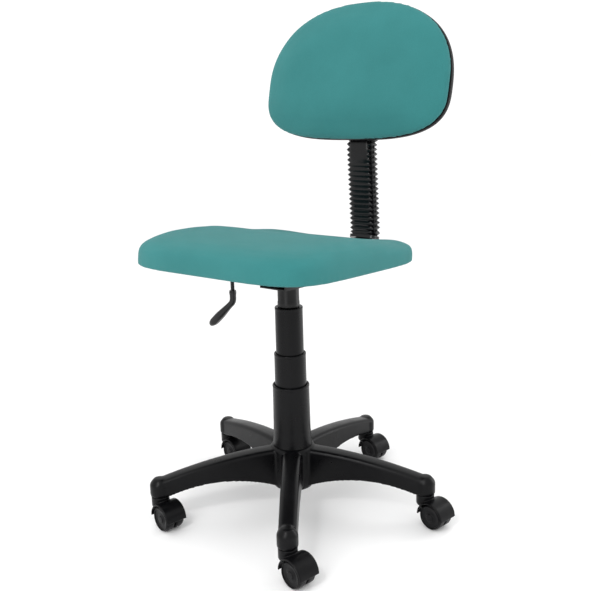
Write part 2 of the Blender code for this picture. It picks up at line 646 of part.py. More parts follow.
def path_stations(path, start, count):
    """Evenly spaced points and directions along a path, from a distance along it."""
    lengths = [0.0]
    for a, b in zip(path, path[1:]):
        lengths.append(lengths[-1] + (b - a).length)
    stations = []
    for i in range(count):
        want = start + (lengths[-1] - start) * i / (count - 1)
        k = max(j for j, length in enumerate(lengths[:-1]) if length <= want + 1e-9)
        a, b = path[k], path[k + 1]
        stations.append((a.lerp(b, (want - lengths[k]) / (b - a).length), (b - a).normalized()))
    return stations


def sleeve_path():
    """The bar's route from the sleeve's foot up to the underside of the back bracket."""
    route = [p for p in bar_path(16)[:-1] if p.z > SLEEVE_START_Z]
    return route + [back_point(BAR_BACK_OFFSET, BRACKET_BOTTOM - 0.002)]


def sleeve_ring(point, ahead, half, count):
    normal = Vector((0.0, -ahead.z, ahead.y))
    return [Vector((u, 0.0, 0.0)) + point + normal * v
            for u, v in superellipse(half[0], half[1], 5.0, count)]


def bar_sleeve(frame):
    path = sleeve_path()
    sides = 8
    outside = path_stations(path, 0.0, 2 * RIB_COUNT + 1)
    rings = [sleeve_ring(p, t, VALLEY_HALF if i % 2 == 0 else RIB_HALF, sides)
             for i, (p, t) in enumerate(outside)]
    inside = path_stations(path, 0.0, 9)
    rings += [sleeve_ring(p, t, SLEEVE_INNER_HALF, sides) for p, t in reversed(inside)]
    bm = bmesh.new()
    loops = [[bm.verts.new(point) for point in points] for points in rings]
    for lower, upper in zip(loops, loops[1:] + loops[:1]):
        for i in range(sides):
            j = (i + 1) % sides
            bm.faces.new((lower[i], lower[j], upper[j], upper[i]))
    mesh_object("bar_sleeve", bm, frame, BLACK_PLASTIC)


def clamp_knob(name, frame, location, rotation, reach):
    """A hand knob with its stud, along the frame's Z: the stud reaches back from zero."""
    knob = lathe(name, [
        (0.0, reach), (0.004, reach), (0.004, 0.0), (0.011, 0.0), (0.0175, -0.006),
        (0.0190, -0.010), (0.0190, -0.020), (0.0165, -0.0235), (0.0, -0.0245),
    ], frame, BLACK_PLASTIC, 16)
    knob.location = location
    knob.rotation_euler = Euler(rotation)


# ---------------------------------------------------------------- backrest

def back_outline(inset, count=32):
    """The backrest's outline: a broad dome over a flatter foot with tight corners."""
    middle = BACK_WIDEST * BACK_HEIGHT
    shrink = 1 - inset / BACK_HALF_WIDTH
    points = []
    for i in range(count):
        angle = math.tau * i / count
        c, s = math.cos(angle), math.sin(angle)
        n = BACK_TOP_ROUNDNESS if s >= 0 else BACK_BOTTOM_ROUNDNESS
        reach = BACK_HEIGHT - middle if s >= 0 else middle
        reach -= inset
        points.append((math.copysign(abs(c) ** (2 / n), c) * BACK_HALF_WIDTH * shrink,
                       middle + math.copysign(abs(s) ** (2 / n), s) * reach))
    return points


def back_solid(name, levels, frame, finish):
    """Skin a solid through (inset, y) levels of the backrest's outline."""
    rings = [[(x, y, z) for x, z in back_outline(inset)] for inset, y in levels]
    return loft(name, rings, frame, finish)


def back_screw_holes(name, frame):
    holes = bmesh.new()
    for x, z in SCREW_PLACES:
        add_loft(holes, [[(x + 0.0024 * math.cos(math.tau * i / 8), y,
                           z + 0.0024 * math.sin(math.tau * i / 8)) for i in range(8)]
                         for y in (-0.0095, 0.030)])
    return mesh_object(name, holes, frame, None)


def backrest(frame):
    back_solid("back_cushion", [
        (0.003, -0.0103), (0.0, -0.0170), (0.005, -0.0270), (0.020, -0.0340),
        (0.050, -0.0385), (0.090, -0.0400)], frame, FABRIC)
    shell = back_solid("back_shell", [
        (0.060, 0.0160), (0.025, 0.0120), (0.006, 0.0060), (0.0, 0.0), (0.0, -0.0100),
        (0.0035, -0.0100), (0.0035, -0.0015), (0.009, 0.0030), (0.027, 0.0090),
        (0.062, 0.0130)], frame, BLACK_PLASTIC)
    cut(shell, back_screw_holes("shell_screw_holes", frame))

    board = flat_piece("back_board", back_outline(0.012), 0.0070, frame, PLYWOOD,
                       rotation=(math.pi / 2, 0.0, 0.0), location=(0.0, -0.0065, 0.0))
    cut(board, back_screw_holes("board_screw_holes", frame))

    plate_rear = BRACKET_PLATE_Y + BRACKET_PLATE
    bracket = box("back_bracket", (-0.036, BRACKET_PLATE_Y, 0.074), (0.036, plate_rear, 0.166),
                  frame, BLACK_STEEL)
    slot_low, slot_high = (BAR_BACK_OFFSET + side * BAR_SLOT_HALF_GAP for side in (-1, 1))
    sleeve = box("bracket_sleeve",
                 (-BAR_SLOT_HALF_WIDTH - GUIDE_WALL, plate_rear - 0.001, BRACKET_BOTTOM),
                 (BAR_SLOT_HALF_WIDTH + GUIDE_WALL, slot_high + GUIDE_WALL, BRACKET_TOP),
                 frame, None)
    join(bracket, sleeve)
    stud_hole = cylinder("height_stud_hole", STUD_HOLE_RADIUS,
                         -slot_high - GUIDE_WALL - 0.005,
                         -BAR_BACK_OFFSET, frame, None, 12)
    stud_hole.rotation_euler = Euler((math.pi / 2, 0.0, 0.0))
    stud_hole.location = (0.0, 0.0, (BRACKET_BOTTOM + BRACKET_TOP) / 2)
    low, high = BRACKET_BOTTOM - 0.01, BRACKET_TOP + 0.01
    cut(bracket,
        box("bracket_slot", (-BAR_SLOT_HALF_WIDTH, slot_low, low),
            (BAR_SLOT_HALF_WIDTH, slot_high, high), frame, None),
        box("bracket_hollow", (-BAR_SLOT_HALF_WIDTH, plate_rear, low),
            (BAR_SLOT_HALF_WIDTH, slot_low - GUIDE_WALL, high), frame, None),
        stud_hole, back_screw_holes("bracket_screw_holes", frame))

    for number, (x, z) in enumerate(SCREW_PLACES, 1):
        screw = lathe(f"back_screw_{number}", [
            (0.0, 0.0), (0.0025, -0.0001), (0.0045, -0.0022), (0.0020, -0.0022),
            (0.0020, -0.0290), (0.0, -0.0290),
        ], frame, BRIGHT_STEEL, 10)
        screw.location = (x, plate_rear + GAP + 0.0022, z)
        screw.rotation_euler = Euler((-math.pi / 2, 0.0, 0.0))
    return slot_high + GUIDE_WALL


# ---------------------------------------------------------------- assembly

def main():
    chair = empty("column_foot", (AXIS_X, AXIS_Y, 0.0))
    rod_axis = empty("seat_swivel", (0.0, 0.0, 0.0), parent=chair)
    lift = empty("seat_lift", (0.0, 0.0, 0.0), parent=rod_axis)
    seat_frame = empty("seat_frame", (0.0, 0.0, SEAT_HEIGHT), (-SEAT_TILT, 0.0, 0.0), lift)
    back_frame = empty("back_frame", (0.0, BACK_Y, BACK_Z), (-BACK_LEAN, 0.0, 0.0), lift)
    lever_pivot = empty("lever_pivot", (LEVER_PIVOT_X, 0.0, LEVER_HEIGHT), parent=lift)

    star_base(chair)
    for number, direction in enumerate(leg_directions(), 1):
        caster(number, direction, chair)
    column(chair, rod_axis, lift)
    mechanism(lift, seat_frame)
    lever(lever_pivot)
    seat(seat_frame)

    back_bar(lift)
    bar_sleeve(lift)
    bracket_rear = backrest(back_frame)
    stud_reach = GUIDE_WALL + 0.0015
    clamp_knob("depth_knob", seat_frame,
               (0.0, (GUIDE_FRONT + GUIDE_REAR) / 2,
                BAR_SEAT_Z - BAR_SLOT_HALF_GAP - GUIDE_WALL - 0.0015), (0.0, 0.0, 0.0),
               stud_reach)
    clamp_knob("height_knob", back_frame,
               (0.0, bracket_rear + 0.0015, (BRACKET_BOTTOM + BRACKET_TOP) / 2),
               (math.pi / 2, 0.0, 0.0), stud_reach)


main()
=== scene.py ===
"""Looks of the swivel office chair: teal woven cushions pulled over foam, moulded black plastic
base, covers, casters and sleeve, powder-coated steelwork, and a plain white studio.

Metres, +Z up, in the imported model's own frame: the chair faces -Y.
"""
import json
import math

import bmesh
import bpy
from mathutils import Euler, Matrix, Vector


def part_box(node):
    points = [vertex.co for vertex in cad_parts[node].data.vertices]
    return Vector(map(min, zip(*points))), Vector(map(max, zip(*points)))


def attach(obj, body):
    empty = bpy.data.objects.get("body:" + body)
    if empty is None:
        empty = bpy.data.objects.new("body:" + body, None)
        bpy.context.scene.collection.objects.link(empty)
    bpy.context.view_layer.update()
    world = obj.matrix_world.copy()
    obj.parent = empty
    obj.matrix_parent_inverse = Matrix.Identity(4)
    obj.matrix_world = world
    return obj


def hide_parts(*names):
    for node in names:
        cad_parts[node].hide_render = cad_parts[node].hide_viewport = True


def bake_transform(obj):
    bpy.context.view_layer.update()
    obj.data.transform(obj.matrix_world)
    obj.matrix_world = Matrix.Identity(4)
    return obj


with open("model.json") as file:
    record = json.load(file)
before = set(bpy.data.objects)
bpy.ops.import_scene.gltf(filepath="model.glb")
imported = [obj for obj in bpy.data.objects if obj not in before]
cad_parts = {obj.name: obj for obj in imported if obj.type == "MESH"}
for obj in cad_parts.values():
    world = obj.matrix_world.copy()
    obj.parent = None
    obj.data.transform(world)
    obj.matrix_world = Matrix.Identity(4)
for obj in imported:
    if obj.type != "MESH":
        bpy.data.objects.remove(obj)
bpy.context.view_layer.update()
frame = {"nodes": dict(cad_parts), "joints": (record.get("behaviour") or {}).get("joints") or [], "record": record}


# ------------------------------------------------------------------ places, from the frame

def middle(node):
    low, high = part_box(node)
    return (Vector(low) + Vector(high)) / 2


def joint_axis(name):
    return Vector(next(j["axis"] for j in frame["joints"] if j["name"] == name))


def flat(vector):
    return Vector((vector.x, vector.y, 0.0))


AXIS = flat(middle("column_tube"))
SEAT_HEIGHT = 0.503
BACK_Y, BACK_Z = 0.220, 0.719
SLIDE_AXIS, BACK_AXIS = joint_axis("back_depth"), joint_axis("back_height")
SEAT_TILT = math.atan2(-SLIDE_AXIS.z, SLIDE_AXIS.y)
BACK_LEAN = math.atan2(BACK_AXIS.y, BACK_AXIS.z)
COLUMN = Matrix.Translation(AXIS)
SEAT = COLUMN @ Matrix.Translation((0, 0, SEAT_HEIGHT)) @ Matrix.Rotation(-SEAT_TILT, 4, "X")
BACK = (COLUMN @ Matrix.Translation((0, BACK_Y, BACK_Z))
        @ Matrix.Rotation(-BACK_LEAN, 4, "X"))
CASTERS = range(1, 6)
STEMS = [flat(middle(f"caster_{k}_stem")) for k in CASTERS]
AXLES = [middle(f"caster_{k}_axle") for k in CASTERS]
HEADING = math.atan2(*(AXLES[0] - STEMS[0]).yx)
TRAIL = (flat(AXLES[0]) - STEMS[0]).length
AXLE_HEIGHT = AXLES[0].z

# Seat: x across, y towards the rear, z up from its underside
SEAT_HALF_WIDTH, SEAT_HALF_DEPTH, SEAT_CENTRE_Y = 0.211, 0.209, -0.030
SEAT_TOP, SEAT_CORNER = 0.047, 5.0
SEAT_WALL_TOP, SEAT_SHOULDER, SEAT_SHOULDER_ROUNDNESS = 0.022, 0.040, 2.6
BOARD_INSET, BOARD_TOP = 0.012, 0.0113
PAD_VOXEL = 0.005
SEAT_GATHER, BACK_GATHER = 0.00045, 0.0004

# Backrest: x across, y towards the rear, z up along the back
BACK_HALF_WIDTH, BACK_HEIGHT, BACK_WIDEST = 0.218, 0.275, 0.374
BACK_TOP_ROUNDNESS, BACK_BOTTOM_ROUNDNESS = 2.31, 3.09
PAD_REAR, PAD_WALL = -0.0103, -0.0155
PAD_SHOULDER, PAD_RISE, PAD_ROUNDNESS = 0.072, 0.0225, 2.25
BRACKET_REAR = 0.0193
SCREW_PLACES = [(-0.028, 0.083), (0.028, 0.083), (-0.028, 0.157), (0.028, 0.157)]
BAR_OFFSET, BRACKET_BOTTOM = 0.043, 0.090

# Ribbed sleeve: half width and half depth at a valley, and how far the ribs rise above it
RIB_COUNT, RINGS_PER_RIB = 28, 8
VALLEY_HALF_WIDTH, VALLEY_HALF_DEPTH = 0.0268, 0.0136
RIB_RISE_WIDTH, RIB_RISE_DEPTH = 0.0060, 0.0032
LINING_HALF_WIDTH, LINING_HALF_DEPTH = 0.0222, 0.0100
SLEEVE_ROUNDNESS = 4.2
SLEEVE_FOOT_HEIGHT, SMOOTH_FROM, SMOOTH_TO = 0.505, 0.668, 0.682

# Star base
STEM_CIRCLE = (STEMS[0] - AXIS).length
HUB_TOP, HUB_BOTTOM, HUB_RADIUS, HUB_BORE = 0.130, 0.043, 0.0445, 0.0256
KNOB_RADIUS, KNOB_TOP, KNOB_BOTTOM = 0.0189, 0.0965, 0.0610
LEG_WALL = 0.0045
POCKETS = [(0.052, 0.103), (0.108, 0.162), (0.167, 0.226)]
BASE_VOXEL, HOOD_VOXEL = 0.0019, 0.0008

# Column covers
COVER_WALL, COVER_LIP = 0.0018, 0.0025
STEM_BORE, STEM_BORE_TOP = 0.0058, 0.0895

# Casters, in the axle's frame: x to the rear of the caster, y along the axle, z up
HOOD_RADIUS, HOOD_INNER, HOOD_HALF = 0.0295, 0.0267, 0.0220
NECK_RADIUS, NECK_TOP, NECK_BOTTOM = 0.0172, 0.0604, 0.0370
WEB_HALF, WHEEL_WIDTH, WHEEL_BORE = 0.0020, 0.0175, 0.0033
GAP = 0.0003


# ------------------------------------------------------------------ materials

class Nodes:
    """A small builder for procedural materials."""

    def __init__(self, name):
        self.material = bpy.data.materials.new(name)
        self.material.use_nodes = True
        self.tree = self.material.node_tree
        self.shader = self.tree.nodes["Principled BSDF"]
        self.place = self.add("ShaderNodeTexCoord").outputs["Object"]

    def add(self, kind, **values):
        node = self.tree.nodes.new(kind)
        for key, value in values.items():
            setattr(node, key, value)
        return node

    def link(self, source, target):
        self.tree.links.new(source, target)

    def set(self, **values):
        for key, value in values.items():
            self.shader.inputs[key.replace("_", " ")].default_value = value

    def noise(self, scale, detail=2.0, roughness=0.5, stretch=None):
        node = self.add("ShaderNodeTexNoise")
        node.inputs["Scale"].default_value = scale
        node.inputs["Detail"].default_value = detail
        node.inputs["Roughness"].default_value = roughness
        place = self.place
        if stretch:
            mapping = self.add("ShaderNodeMapping")
            mapping.inputs["Scale"].default_value = stretch
            self.link(place, mapping.inputs["Vector"])
            place = mapping.outputs["Vector"]
        self.link(place, node.inputs["Vector"])
        return node.outputs["Fac"]

    def cells(self, scale, feature="F1"):
        node = self.add("ShaderNodeTexVoronoi", feature=feature)
        node.inputs["Scale"].default_value = scale
        self.link(self.place, node.inputs["Vector"])
        return node.outputs["Distance"]

    def math(self, operation, a, b=0.0):
        node = self.add("ShaderNodeMath", operation=operation)
        for socket, value in zip(node.inputs, (a, b)):
            if isinstance(value, (int, float)):
                socket.default_value = value
            else:
                self.link(value, socket)
        return node.outputs["Value"]

    def span(self, value, low, high, start=0.3, end=0.7):
        """Rescale a value from start..end to low..high."""
        node = self.add("ShaderNodeMapRange")
        for name, number in (("From Min", start), ("From Max", end), ("To Min", low),
                             ("To Max", high)):
            node.inputs[name].default_value = number
        self.link(value, node.inputs["Value"])
        return node.outputs["Result"]

    def mix_colors(self, factor, first, second):
        node = self.add("ShaderNodeMix", data_type="RGBA")
        node.inputs["A"].default_value = (*first, 1.0)
        node.inputs["B"].default_value = (*second, 1.0)
        self.link(factor, node.inputs["Factor"])
        return node.outputs["Result"]

    def bump(self, heights):
        """Chain bumps of (height, strength, distance)."""
        normal = None
        for height, strength, distance in heights:
            node = self.add("ShaderNodeBump")
            node.inputs["Strength"].default_value = strength
            node.inputs["Distance"].default_value = distance
            self.link(height, node.inputs["Height"])
            if normal:
                self.link(normal, node.inputs["Normal"])
            normal = node.outputs["Normal"]
        self.link(normal, self.shader.inputs["Normal"])


def woven_fabric(name, dark, light):
    """A plain weave of 1.1 mm threads, steered by the surface so that it shows on every side."""
    m = Nodes(name)
    thread = math.tau / (20 * 0.0011)
    normal = m.add("ShaderNodeSeparateXYZ")
    m.link(m.add("ShaderNodeNewGeometry").outputs["Normal"], normal.inputs["Vector"])
    weave = None
    for axis in "XYZ":
        wave = m.add("ShaderNodeTexWave", bands_direction=axis)
        wave.inputs["Scale"].default_value = thread
        wave.inputs["Distortion"].default_value = 0.0
        m.link(m.place, wave.inputs["Vector"])
        side = m.math("SUBTRACT", 1.0, m.math("ABSOLUTE", normal.outputs[axis]))
        share = m.math("MULTIPLY", wave.outputs["Fac"], side)
        weave = share if weave is None else m.math("ADD", weave, share)
    slub = m.noise(900.0, 3.0, 0.6)
    patches = m.noise(14.0, 3.0, 0.55)
    tone = m.math("ADD", m.math("MULTIPLY", slub, 0.6), m.math("MULTIPLY", patches, 0.4))
    m.link(m.mix_colors(m.span(tone, 0.0, 1.0), dark, light), m.shader.inputs["Base Color"])
    m.link(m.span(slub, 0.86, 0.97), m.shader.inputs["Roughness"])
    m.set(Sheen_Weight=0.12, Sheen_Roughness=0.45, Sheen_Tint=(0.75, 1.0, 0.97, 1.0),
          Specular_IOR_Level=0.15)
    m.bump([(patches, 0.10, 0.002), (slub, 0.25, 0.0004), (weave, 0.55, 0.0004)])
    return m.material


def moulded_plastic(name, color, roughness, grain, grain_depth, specular=0.15):
    """Black moulded plastic with a fine pebbled grain and slightly uneven gloss."""
    m = Nodes(name)
    cloud = m.noise(28.0, 3.0, 0.6)
    lighter = tuple(1.6 * c for c in color)
    m.link(m.mix_colors(m.span(cloud, 0.0, 1.0), color, lighter), m.shader.inputs["Base Color"])
    m.link(m.span(cloud, roughness - 0.05, roughness + 0.06), m.shader.inputs["Roughness"])
    m.set(Specular_IOR_Level=specular)
    m.bump([(m.noise(70.0, 2.0), 0.12, 0.0006), (m.cells(grain), 0.35, grain_depth)])
    return m.material


def powder_coat(name, color, roughness):
    m = Nodes(name)
    orange_peel = m.noise(520.0, 2.0, 0.5)
    cloud = m.noise(22.0, 3.0, 0.6)
    lighter = tuple(1.5 * c for c in color)
    m.link(m.mix_colors(m.span(cloud, 0.0, 1.0), color, lighter), m.shader.inputs["Base Color"])
    m.link(m.span(cloud, roughness - 0.06, roughness + 0.08), m.shader.inputs["Roughness"])
    m.set(Specular_IOR_Level=0.25, Coat_Weight=0.08, Coat_Roughness=0.3)
    m.bump([(orange_peel, 0.25, 0.0003)])
    return m.material


def plated_steel(name):
    m = Nodes(name)
    streaks = m.noise(180.0, 4.0, 0.6, stretch=(1.0, 1.0, 0.08))
    m.link(m.mix_colors(m.span(streaks, 0.0, 1.0), (0.42, 0.42, 0.43), (0.66, 0.66, 0.68)),
           m.shader.inputs["Base Color"])
    m.link(m.span(streaks, 0.24, 0.42), m.shader.inputs["Roughness"])
    m.set(Metallic=1.0)
    m.bump([(streaks, 0.12, 0.0002)])
    return m.material


def acetal(name):
    m = Nodes(name)
    cloud = m.noise(60.0, 3.0)
    m.link(m.mix_colors(m.span(cloud, 0.0, 1.0), (0.26, 0.26, 0.25), (0.34, 0.34, 0.33)),
           m.shader.inputs["Base Color"])
    m.link(m.span(cloud, 0.50, 0.66), m.shader.inputs["Roughness"])
    m.bump([(m.noise(400.0), 0.15, 0.0003)])
    return m.material


def birch_ply(name):
    """Pale birch with grain along X and darker glue lines between its plies."""
    m = Nodes(name)
    grain = m.noise(60.0, 5.0, 0.6, stretch=(0.06, 1.0, 1.0))
    plies = m.add("ShaderNodeTexWave", bands_direction="Z")
    plies.inputs["Scale"].default_value = math.tau / (20 * 0.0015)
    m.link(m.place, plies.inputs["Vector"])
    tone = m.math("MULTIPLY", grain, m.span(plies.outputs["Fac"], 0.75, 1.0, 0.0, 0.3))
    m.link(m.mix_colors(m.span(tone, 0.0, 1.0, 0.25, 0.65), (0.34, 0.21, 0.11),
                        (0.62, 0.46, 0.28)), m.shader.inputs["Base Color"])
    m.link(m.span(grain, 0.62, 0.80), m.shader.inputs["Roughness"])
    m.bump([(grain, 0.35, 0.0005)])
    return m.material


def nonwoven(name):
    m = Nodes(name)
    fibres = m.noise(700.0, 5.0, 0.75)
    dimples = m.cells(420.0)
    m.link(m.mix_colors(m.span(fibres, 0.0, 1.0), (0.004, 0.004, 0.004), (0.016, 0.016, 0.016)),
           m.shader.inputs["Base Color"])
    m.link(m.span(fibres, 0.85, 0.98), m.shader.inputs["Roughness"])
    m.set(Sheen_Weight=0.06, Sheen_Roughness=0.6, Specular_IOR_Level=0.1)
    m.bump([(dimples, 0.5, 0.0004), (fibres, 0.3, 0.0002)])
    return m.material


FABRIC_DARK, FABRIC_LIGHT = (0.028, 0.161, 0.161), (0.039, 0.204, 0.204)
BLACK = (0.0017, 0.0017, 0.0021)
MATERIALS = {
    "seat_fabric": woven_fabric("seat_fabric", FABRIC_DARK, FABRIC_LIGHT),
    "back_fabric": woven_fabric("back_fabric", FABRIC_DARK, FABRIC_LIGHT),
    "base_plastic": moulded_plastic("base_plastic", BLACK, 0.31, 1500.0, 0.00010),
    "cover_plastic": moulded_plastic("cover_plastic", (0.0019, 0.0019, 0.0023), 0.29, 1900.0,
                                     0.00008),
    "caster_plastic": moulded_plastic("caster_plastic", BLACK, 0.33, 2200.0, 0.00006),
    "wheel_plastic": moulded_plastic("wheel_plastic", (0.0028, 0.0028, 0.0033), 0.32, 2200.0,
                                     0.00006),
    "shell_plastic": moulded_plastic("shell_plastic", (0.0030, 0.0030, 0.0034), 0.44, 700.0,
                                     0.00022),
    "sleeve_plastic": moulded_plastic("sleeve_plastic", (0.0018, 0.0018, 0.0022), 0.20, 2600.0,
                                      0.00004, 0.28),
    "knob_plastic": moulded_plastic("knob_plastic", BLACK, 0.24, 2600.0, 0.00004, 0.35),
    "grey_plastic": acetal("grey_plastic"),
    "black_steel": powder_coat("black_steel", (0.0036, 0.0036, 0.0040), 0.36),
    "bright_steel": plated_steel("bright_steel"),
    "plywood": birch_ply("plywood"),
    "dust_cloth": nonwoven("dust_cloth"),
}


# ------------------------------------------------------------------ mesh tools

def show(name, mesh, body, slot, replaced=(), crease=35.0):
    """Put a finished mesh in the scene, riding on its body, in its slot's material."""
    mesh.materials.clear()
    mesh.materials.append(MATERIALS[slot])
    mesh.shade_smooth()
    mesh.set_sharp_from_angle(angle=math.radians(crease))
    obj = bpy.data.objects.new(name, mesh)
    bpy.context.scene.collection.objects.link(obj)
    if body:
        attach(obj, body)
    if replaced:
        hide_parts(*replaced)
    return obj


def to_mesh(name, bm, matrix=None):
    if matrix:
        bmesh.ops.transform(bm, matrix=matrix, verts=bm.verts)
    bmesh.ops.recalc_face_normals(bm, faces=bm.faces)
    mesh = bpy.data.meshes.new(name)
    bm.to_mesh(mesh)
    bm.free()
    return mesh


def helper(mesh):
    obj = bpy.data.objects.new(mesh.name + "_work", mesh)
    bpy.context.scene.collection.objects.link(obj)
    return obj


def settle(obj, name):
    """The mesh an object shows with its modifiers; the object itself is removed."""
    bpy.context.view_layer.update()
    evaluated = obj.evaluated_get(bpy.context.evaluated_depsgraph_get())
    mesh = bpy.data.meshes.new_from_object(evaluated)
    mesh.name = name
    bpy.data.objects.remove(obj, do_unlink=True)
    return mesh


def boolean(name, base, steps):
    """Apply (operation, mesh) steps to a mesh."""
    obj = helper(base)
    operands = []
    for operation, mesh in steps:
        operand = helper(mesh)
        operands.append(operand)
        modifier = obj.modifiers.new(operation, "BOOLEAN")
        modifier.operation, modifier.solver, modifier.object = operation, "EXACT", operand
    result = settle(obj, name)
    for operand in operands:
        bpy.data.objects.remove(operand, do_unlink=True)
    return result


def soften(name, mesh, voxel, rounds):
    """Rebuild a mesh on a fine grid and relax it, which rounds its edges like a moulding."""
    obj = helper(mesh)
    remesh = obj.modifiers.new("remesh", "REMESH")
    remesh.mode, remesh.voxel_size = "VOXEL", voxel
    smooth = obj.modifiers.new("smooth", "SMOOTH")
    smooth.factor, smooth.iterations = 0.5, rounds
    return settle(obj, name)


def skin(rings, ring_of_rings=False):
    """A closed mesh through rings of points, capped unless its last ring joins its first."""
    bm = bmesh.new()
    loops = [[bm.verts.new(point) for point in points] for points in rings]
    pairs = list(zip(loops, loops[1:] + (loops[:1] if ring_of_rings else [])))
    count = len(loops[0])
    for lower, upper in pairs:
        for i in range(count):
            j = (i + 1) % count
            bm.faces.new((lower[i], lower[j], upper[j], upper[i]))
    if not ring_of_rings:
        bm.faces.new(loops[0])
        bm.faces.new(loops[-1])
    return bm


def rounded(corners, closed=True, steps=5):
    """Round a profile's corners. Each corner is (x, y) or (x, y, radius)."""
    points = []
    count = len(corners)
    for i, corner in enumerate(corners):
        here = Vector(corner[:2])
        radius = corner[2] if len(corner) > 2 else 0.0
        if not radius or (not closed and i in (0, count - 1)):
            points.append(here)
            continue
        back = (Vector(corners[i - 1][:2]) - here).normalized()
        ahead = (Vector(corners[(i + 1) % count][:2]) - here).normalized()
        half = back.angle(ahead) / 2
        reach = radius / math.tan(half)
        centre = here + (back + ahead).normalized() * (radius / math.sin(half))
        first, last = here + back * reach - centre, here + ahead * reach - centre
        sweep = first.angle(last)
        for step in range(steps + 1):
            t = step / steps
            offset = first * math.sin((1 - t) * sweep) + last * math.sin(t * sweep)
            points.append(centre + offset / math.sin(sweep))
    return points


def turned(profile, sides=64, closed=False):
    """Turn a profile of (radius, height) points about Z; its ends may lie on the axis."""
    bm = bmesh.new()
    loops = []
    for radius, height in profile:
        if radius < 1e-6:
            loops.append([bm.verts.new((0.0, 0.0, height))])
            continue
        loops.append([bm.verts.new((radius * math.cos(math.tau * i / sides),
                                    radius * math.sin(math.tau * i / sides), height))
                      for i in range(sides)])
    pairs = list(zip(loops, loops[1:] + (loops[:1] if closed else [])))
    for lower, upper in pairs:
        for i in range(sides):
            j = (i + 1) % sides
            face = [lower[i % len(lower)], lower[j % len(lower)], upper[j % len(upper)],
                    upper[i % len(upper)]]
            corners = list(dict.fromkeys(face))
            if len(corners) > 2:
                bm.faces.new(corners)
    return bm


def superellipse(half_width, half_depth, roundness, count, centre_y=0.0):
    points = []
    for i in range(count):
        angle = math.tau * i / count
        c, s = math.cos(angle), math.sin(angle)
        points.append((math.copysign(abs(c) ** (2 / roundness), c) * half_width,
                       math.copysign(abs(s) ** (2 / roundness), s) * half_depth + centre_y))
    return points


def smoothstep(low, high, value):
    t = min(max((value - low) / (high - low), 0.0), 1.0)
    return t * t * (3 - 2 * t)


def refined(node, body, slot, bevel):
    """A CAD node's mesh with its flat faces merged and its edges rounded."""
    bm = bmesh.new()
    bm.from_mesh(frame["nodes"][node].data)
    bmesh.ops.remove_doubles(bm, verts=bm.verts, dist=1e-5)
    bmesh.ops.dissolve_limit(bm, angle_limit=math.radians(1.0), verts=bm.verts, edges=bm.edges)
    obj = helper(to_mesh(node, bm))
    modifier = obj.modifiers.new("bevel", "BEVEL")
    modifier.width, modifier.segments = bevel, 3
    modifier.limit_method, modifier.angle_limit = "ANGLE", math.radians(40)
    modifier.use_clamp_overlap = True
    show(node + "_finished", settle(obj, node), body, slot, [node])


# ------------------------------------------------------------------ cushions

def evened(moves, mesh, rounds):
    """Average each point's move with its neighbours', as a taut cover over foam does."""
    links = [[] for _ in moves]
    for edge in mesh.edges:
        a, b = edge.vertices
        links[a].append(b)
        links[b].append(a)
    for _ in range(rounds):
        moves = [(move + sum((moves[j] for j in near), Vector()) / len(near)) / 2
                 for move, near in zip(moves, links)]
    return moves


def inflate(mesh, is_pinned, cap, pressure=4.0, last_frame=20):
    """Blow a pad up as cloth with its pinned points held, then limit and even out its moves."""
    obj = helper(mesh)
    start = [v.co.copy() for v in mesh.vertices]
    held = obj.vertex_groups.new(name="held")
    held.add([i for i, co in enumerate(start) if is_pinned(co)], 1.0, "REPLACE")
    cloth = obj.modifiers.new("cloth", "CLOTH")
    settings = cloth.settings
    settings.vertex_group_mass = "held"
    settings.use_pressure = True
    settings.uniform_pressure_force = pressure
    settings.effector_weights.gravity = 0.0
    settings.quality = 6
    cloth.point_cache.frame_start, cloth.point_cache.frame_end = 1, last_frame
    for number in range(1, last_frame + 1):
        bpy.context.scene.frame_set(number)
    evaluated = obj.evaluated_get(bpy.context.evaluated_depsgraph_get())
    moved = [v.co.copy() for v in evaluated.data.vertices]
    bpy.context.scene.frame_set(1)
    bpy.data.objects.remove(obj, do_unlink=True)
    moves = []
    for before, after in zip(start, moved):
        step = after - before
        moves.append(step.normalized() * (cap * math.tanh(step.length / cap)))
    for vertex, before, move in zip(mesh.vertices, start, evened(moves, mesh, 50)):
        if not is_pinned(before):
            vertex.co = before + move


def voxel_mesh(name, bm):
    """A pad's shape as an even grid, ready for the cloth."""
    return soften(name, to_mesh(name, bm), PAD_VOXEL, 4)


def subdivided(name, mesh):
    obj = helper(mesh)
    modifier = obj.modifiers.new("subdivide", "SUBSURF")
    modifier.levels = modifier.render_levels = 1
    return settle(obj, name)


def crown(reach, rise, roundness, count=14):
    """(inset, height) steps from a vertical side over a rounded shoulder to a flat top."""
    steps = []
    for i in range(count + 1):
        angle = math.pi / 2 * i / count
        steps.append((reach * (1 - math.cos(angle) ** (2 / roundness)),
                      rise * math.sin(angle) ** (2 / roundness)))
    return steps


def seat_contour(x, y):
    """Raised under the thighs, dished under the sitter and less so towards its sides."""
    thighs = 0.0135 * math.exp(-((y + 0.035) / (0.105 if y > -0.035 else 0.170)) ** 2)
    dish = 0.0165 * math.exp(-((y - 0.15) / 0.10) ** 2)
    return thighs - dish * (1 - 0.5 * smoothstep(0.06, 0.17, abs(x)))


def seat_outline(inset, count=160):
    return superellipse(SEAT_HALF_WIDTH - inset, SEAT_HALF_DEPTH - inset, SEAT_CORNER, count,
                        SEAT_CENTRE_Y)


def gathers(angle, depth):
    """Small radial pleats where the cover is pulled round under the pad."""
    wave = math.sin(angle * 67) + 0.6 * math.sin(angle * 113 + 1.3)
    return depth * (0.5 + 0.5 * math.cos(angle * 4 + math.pi)) * wave


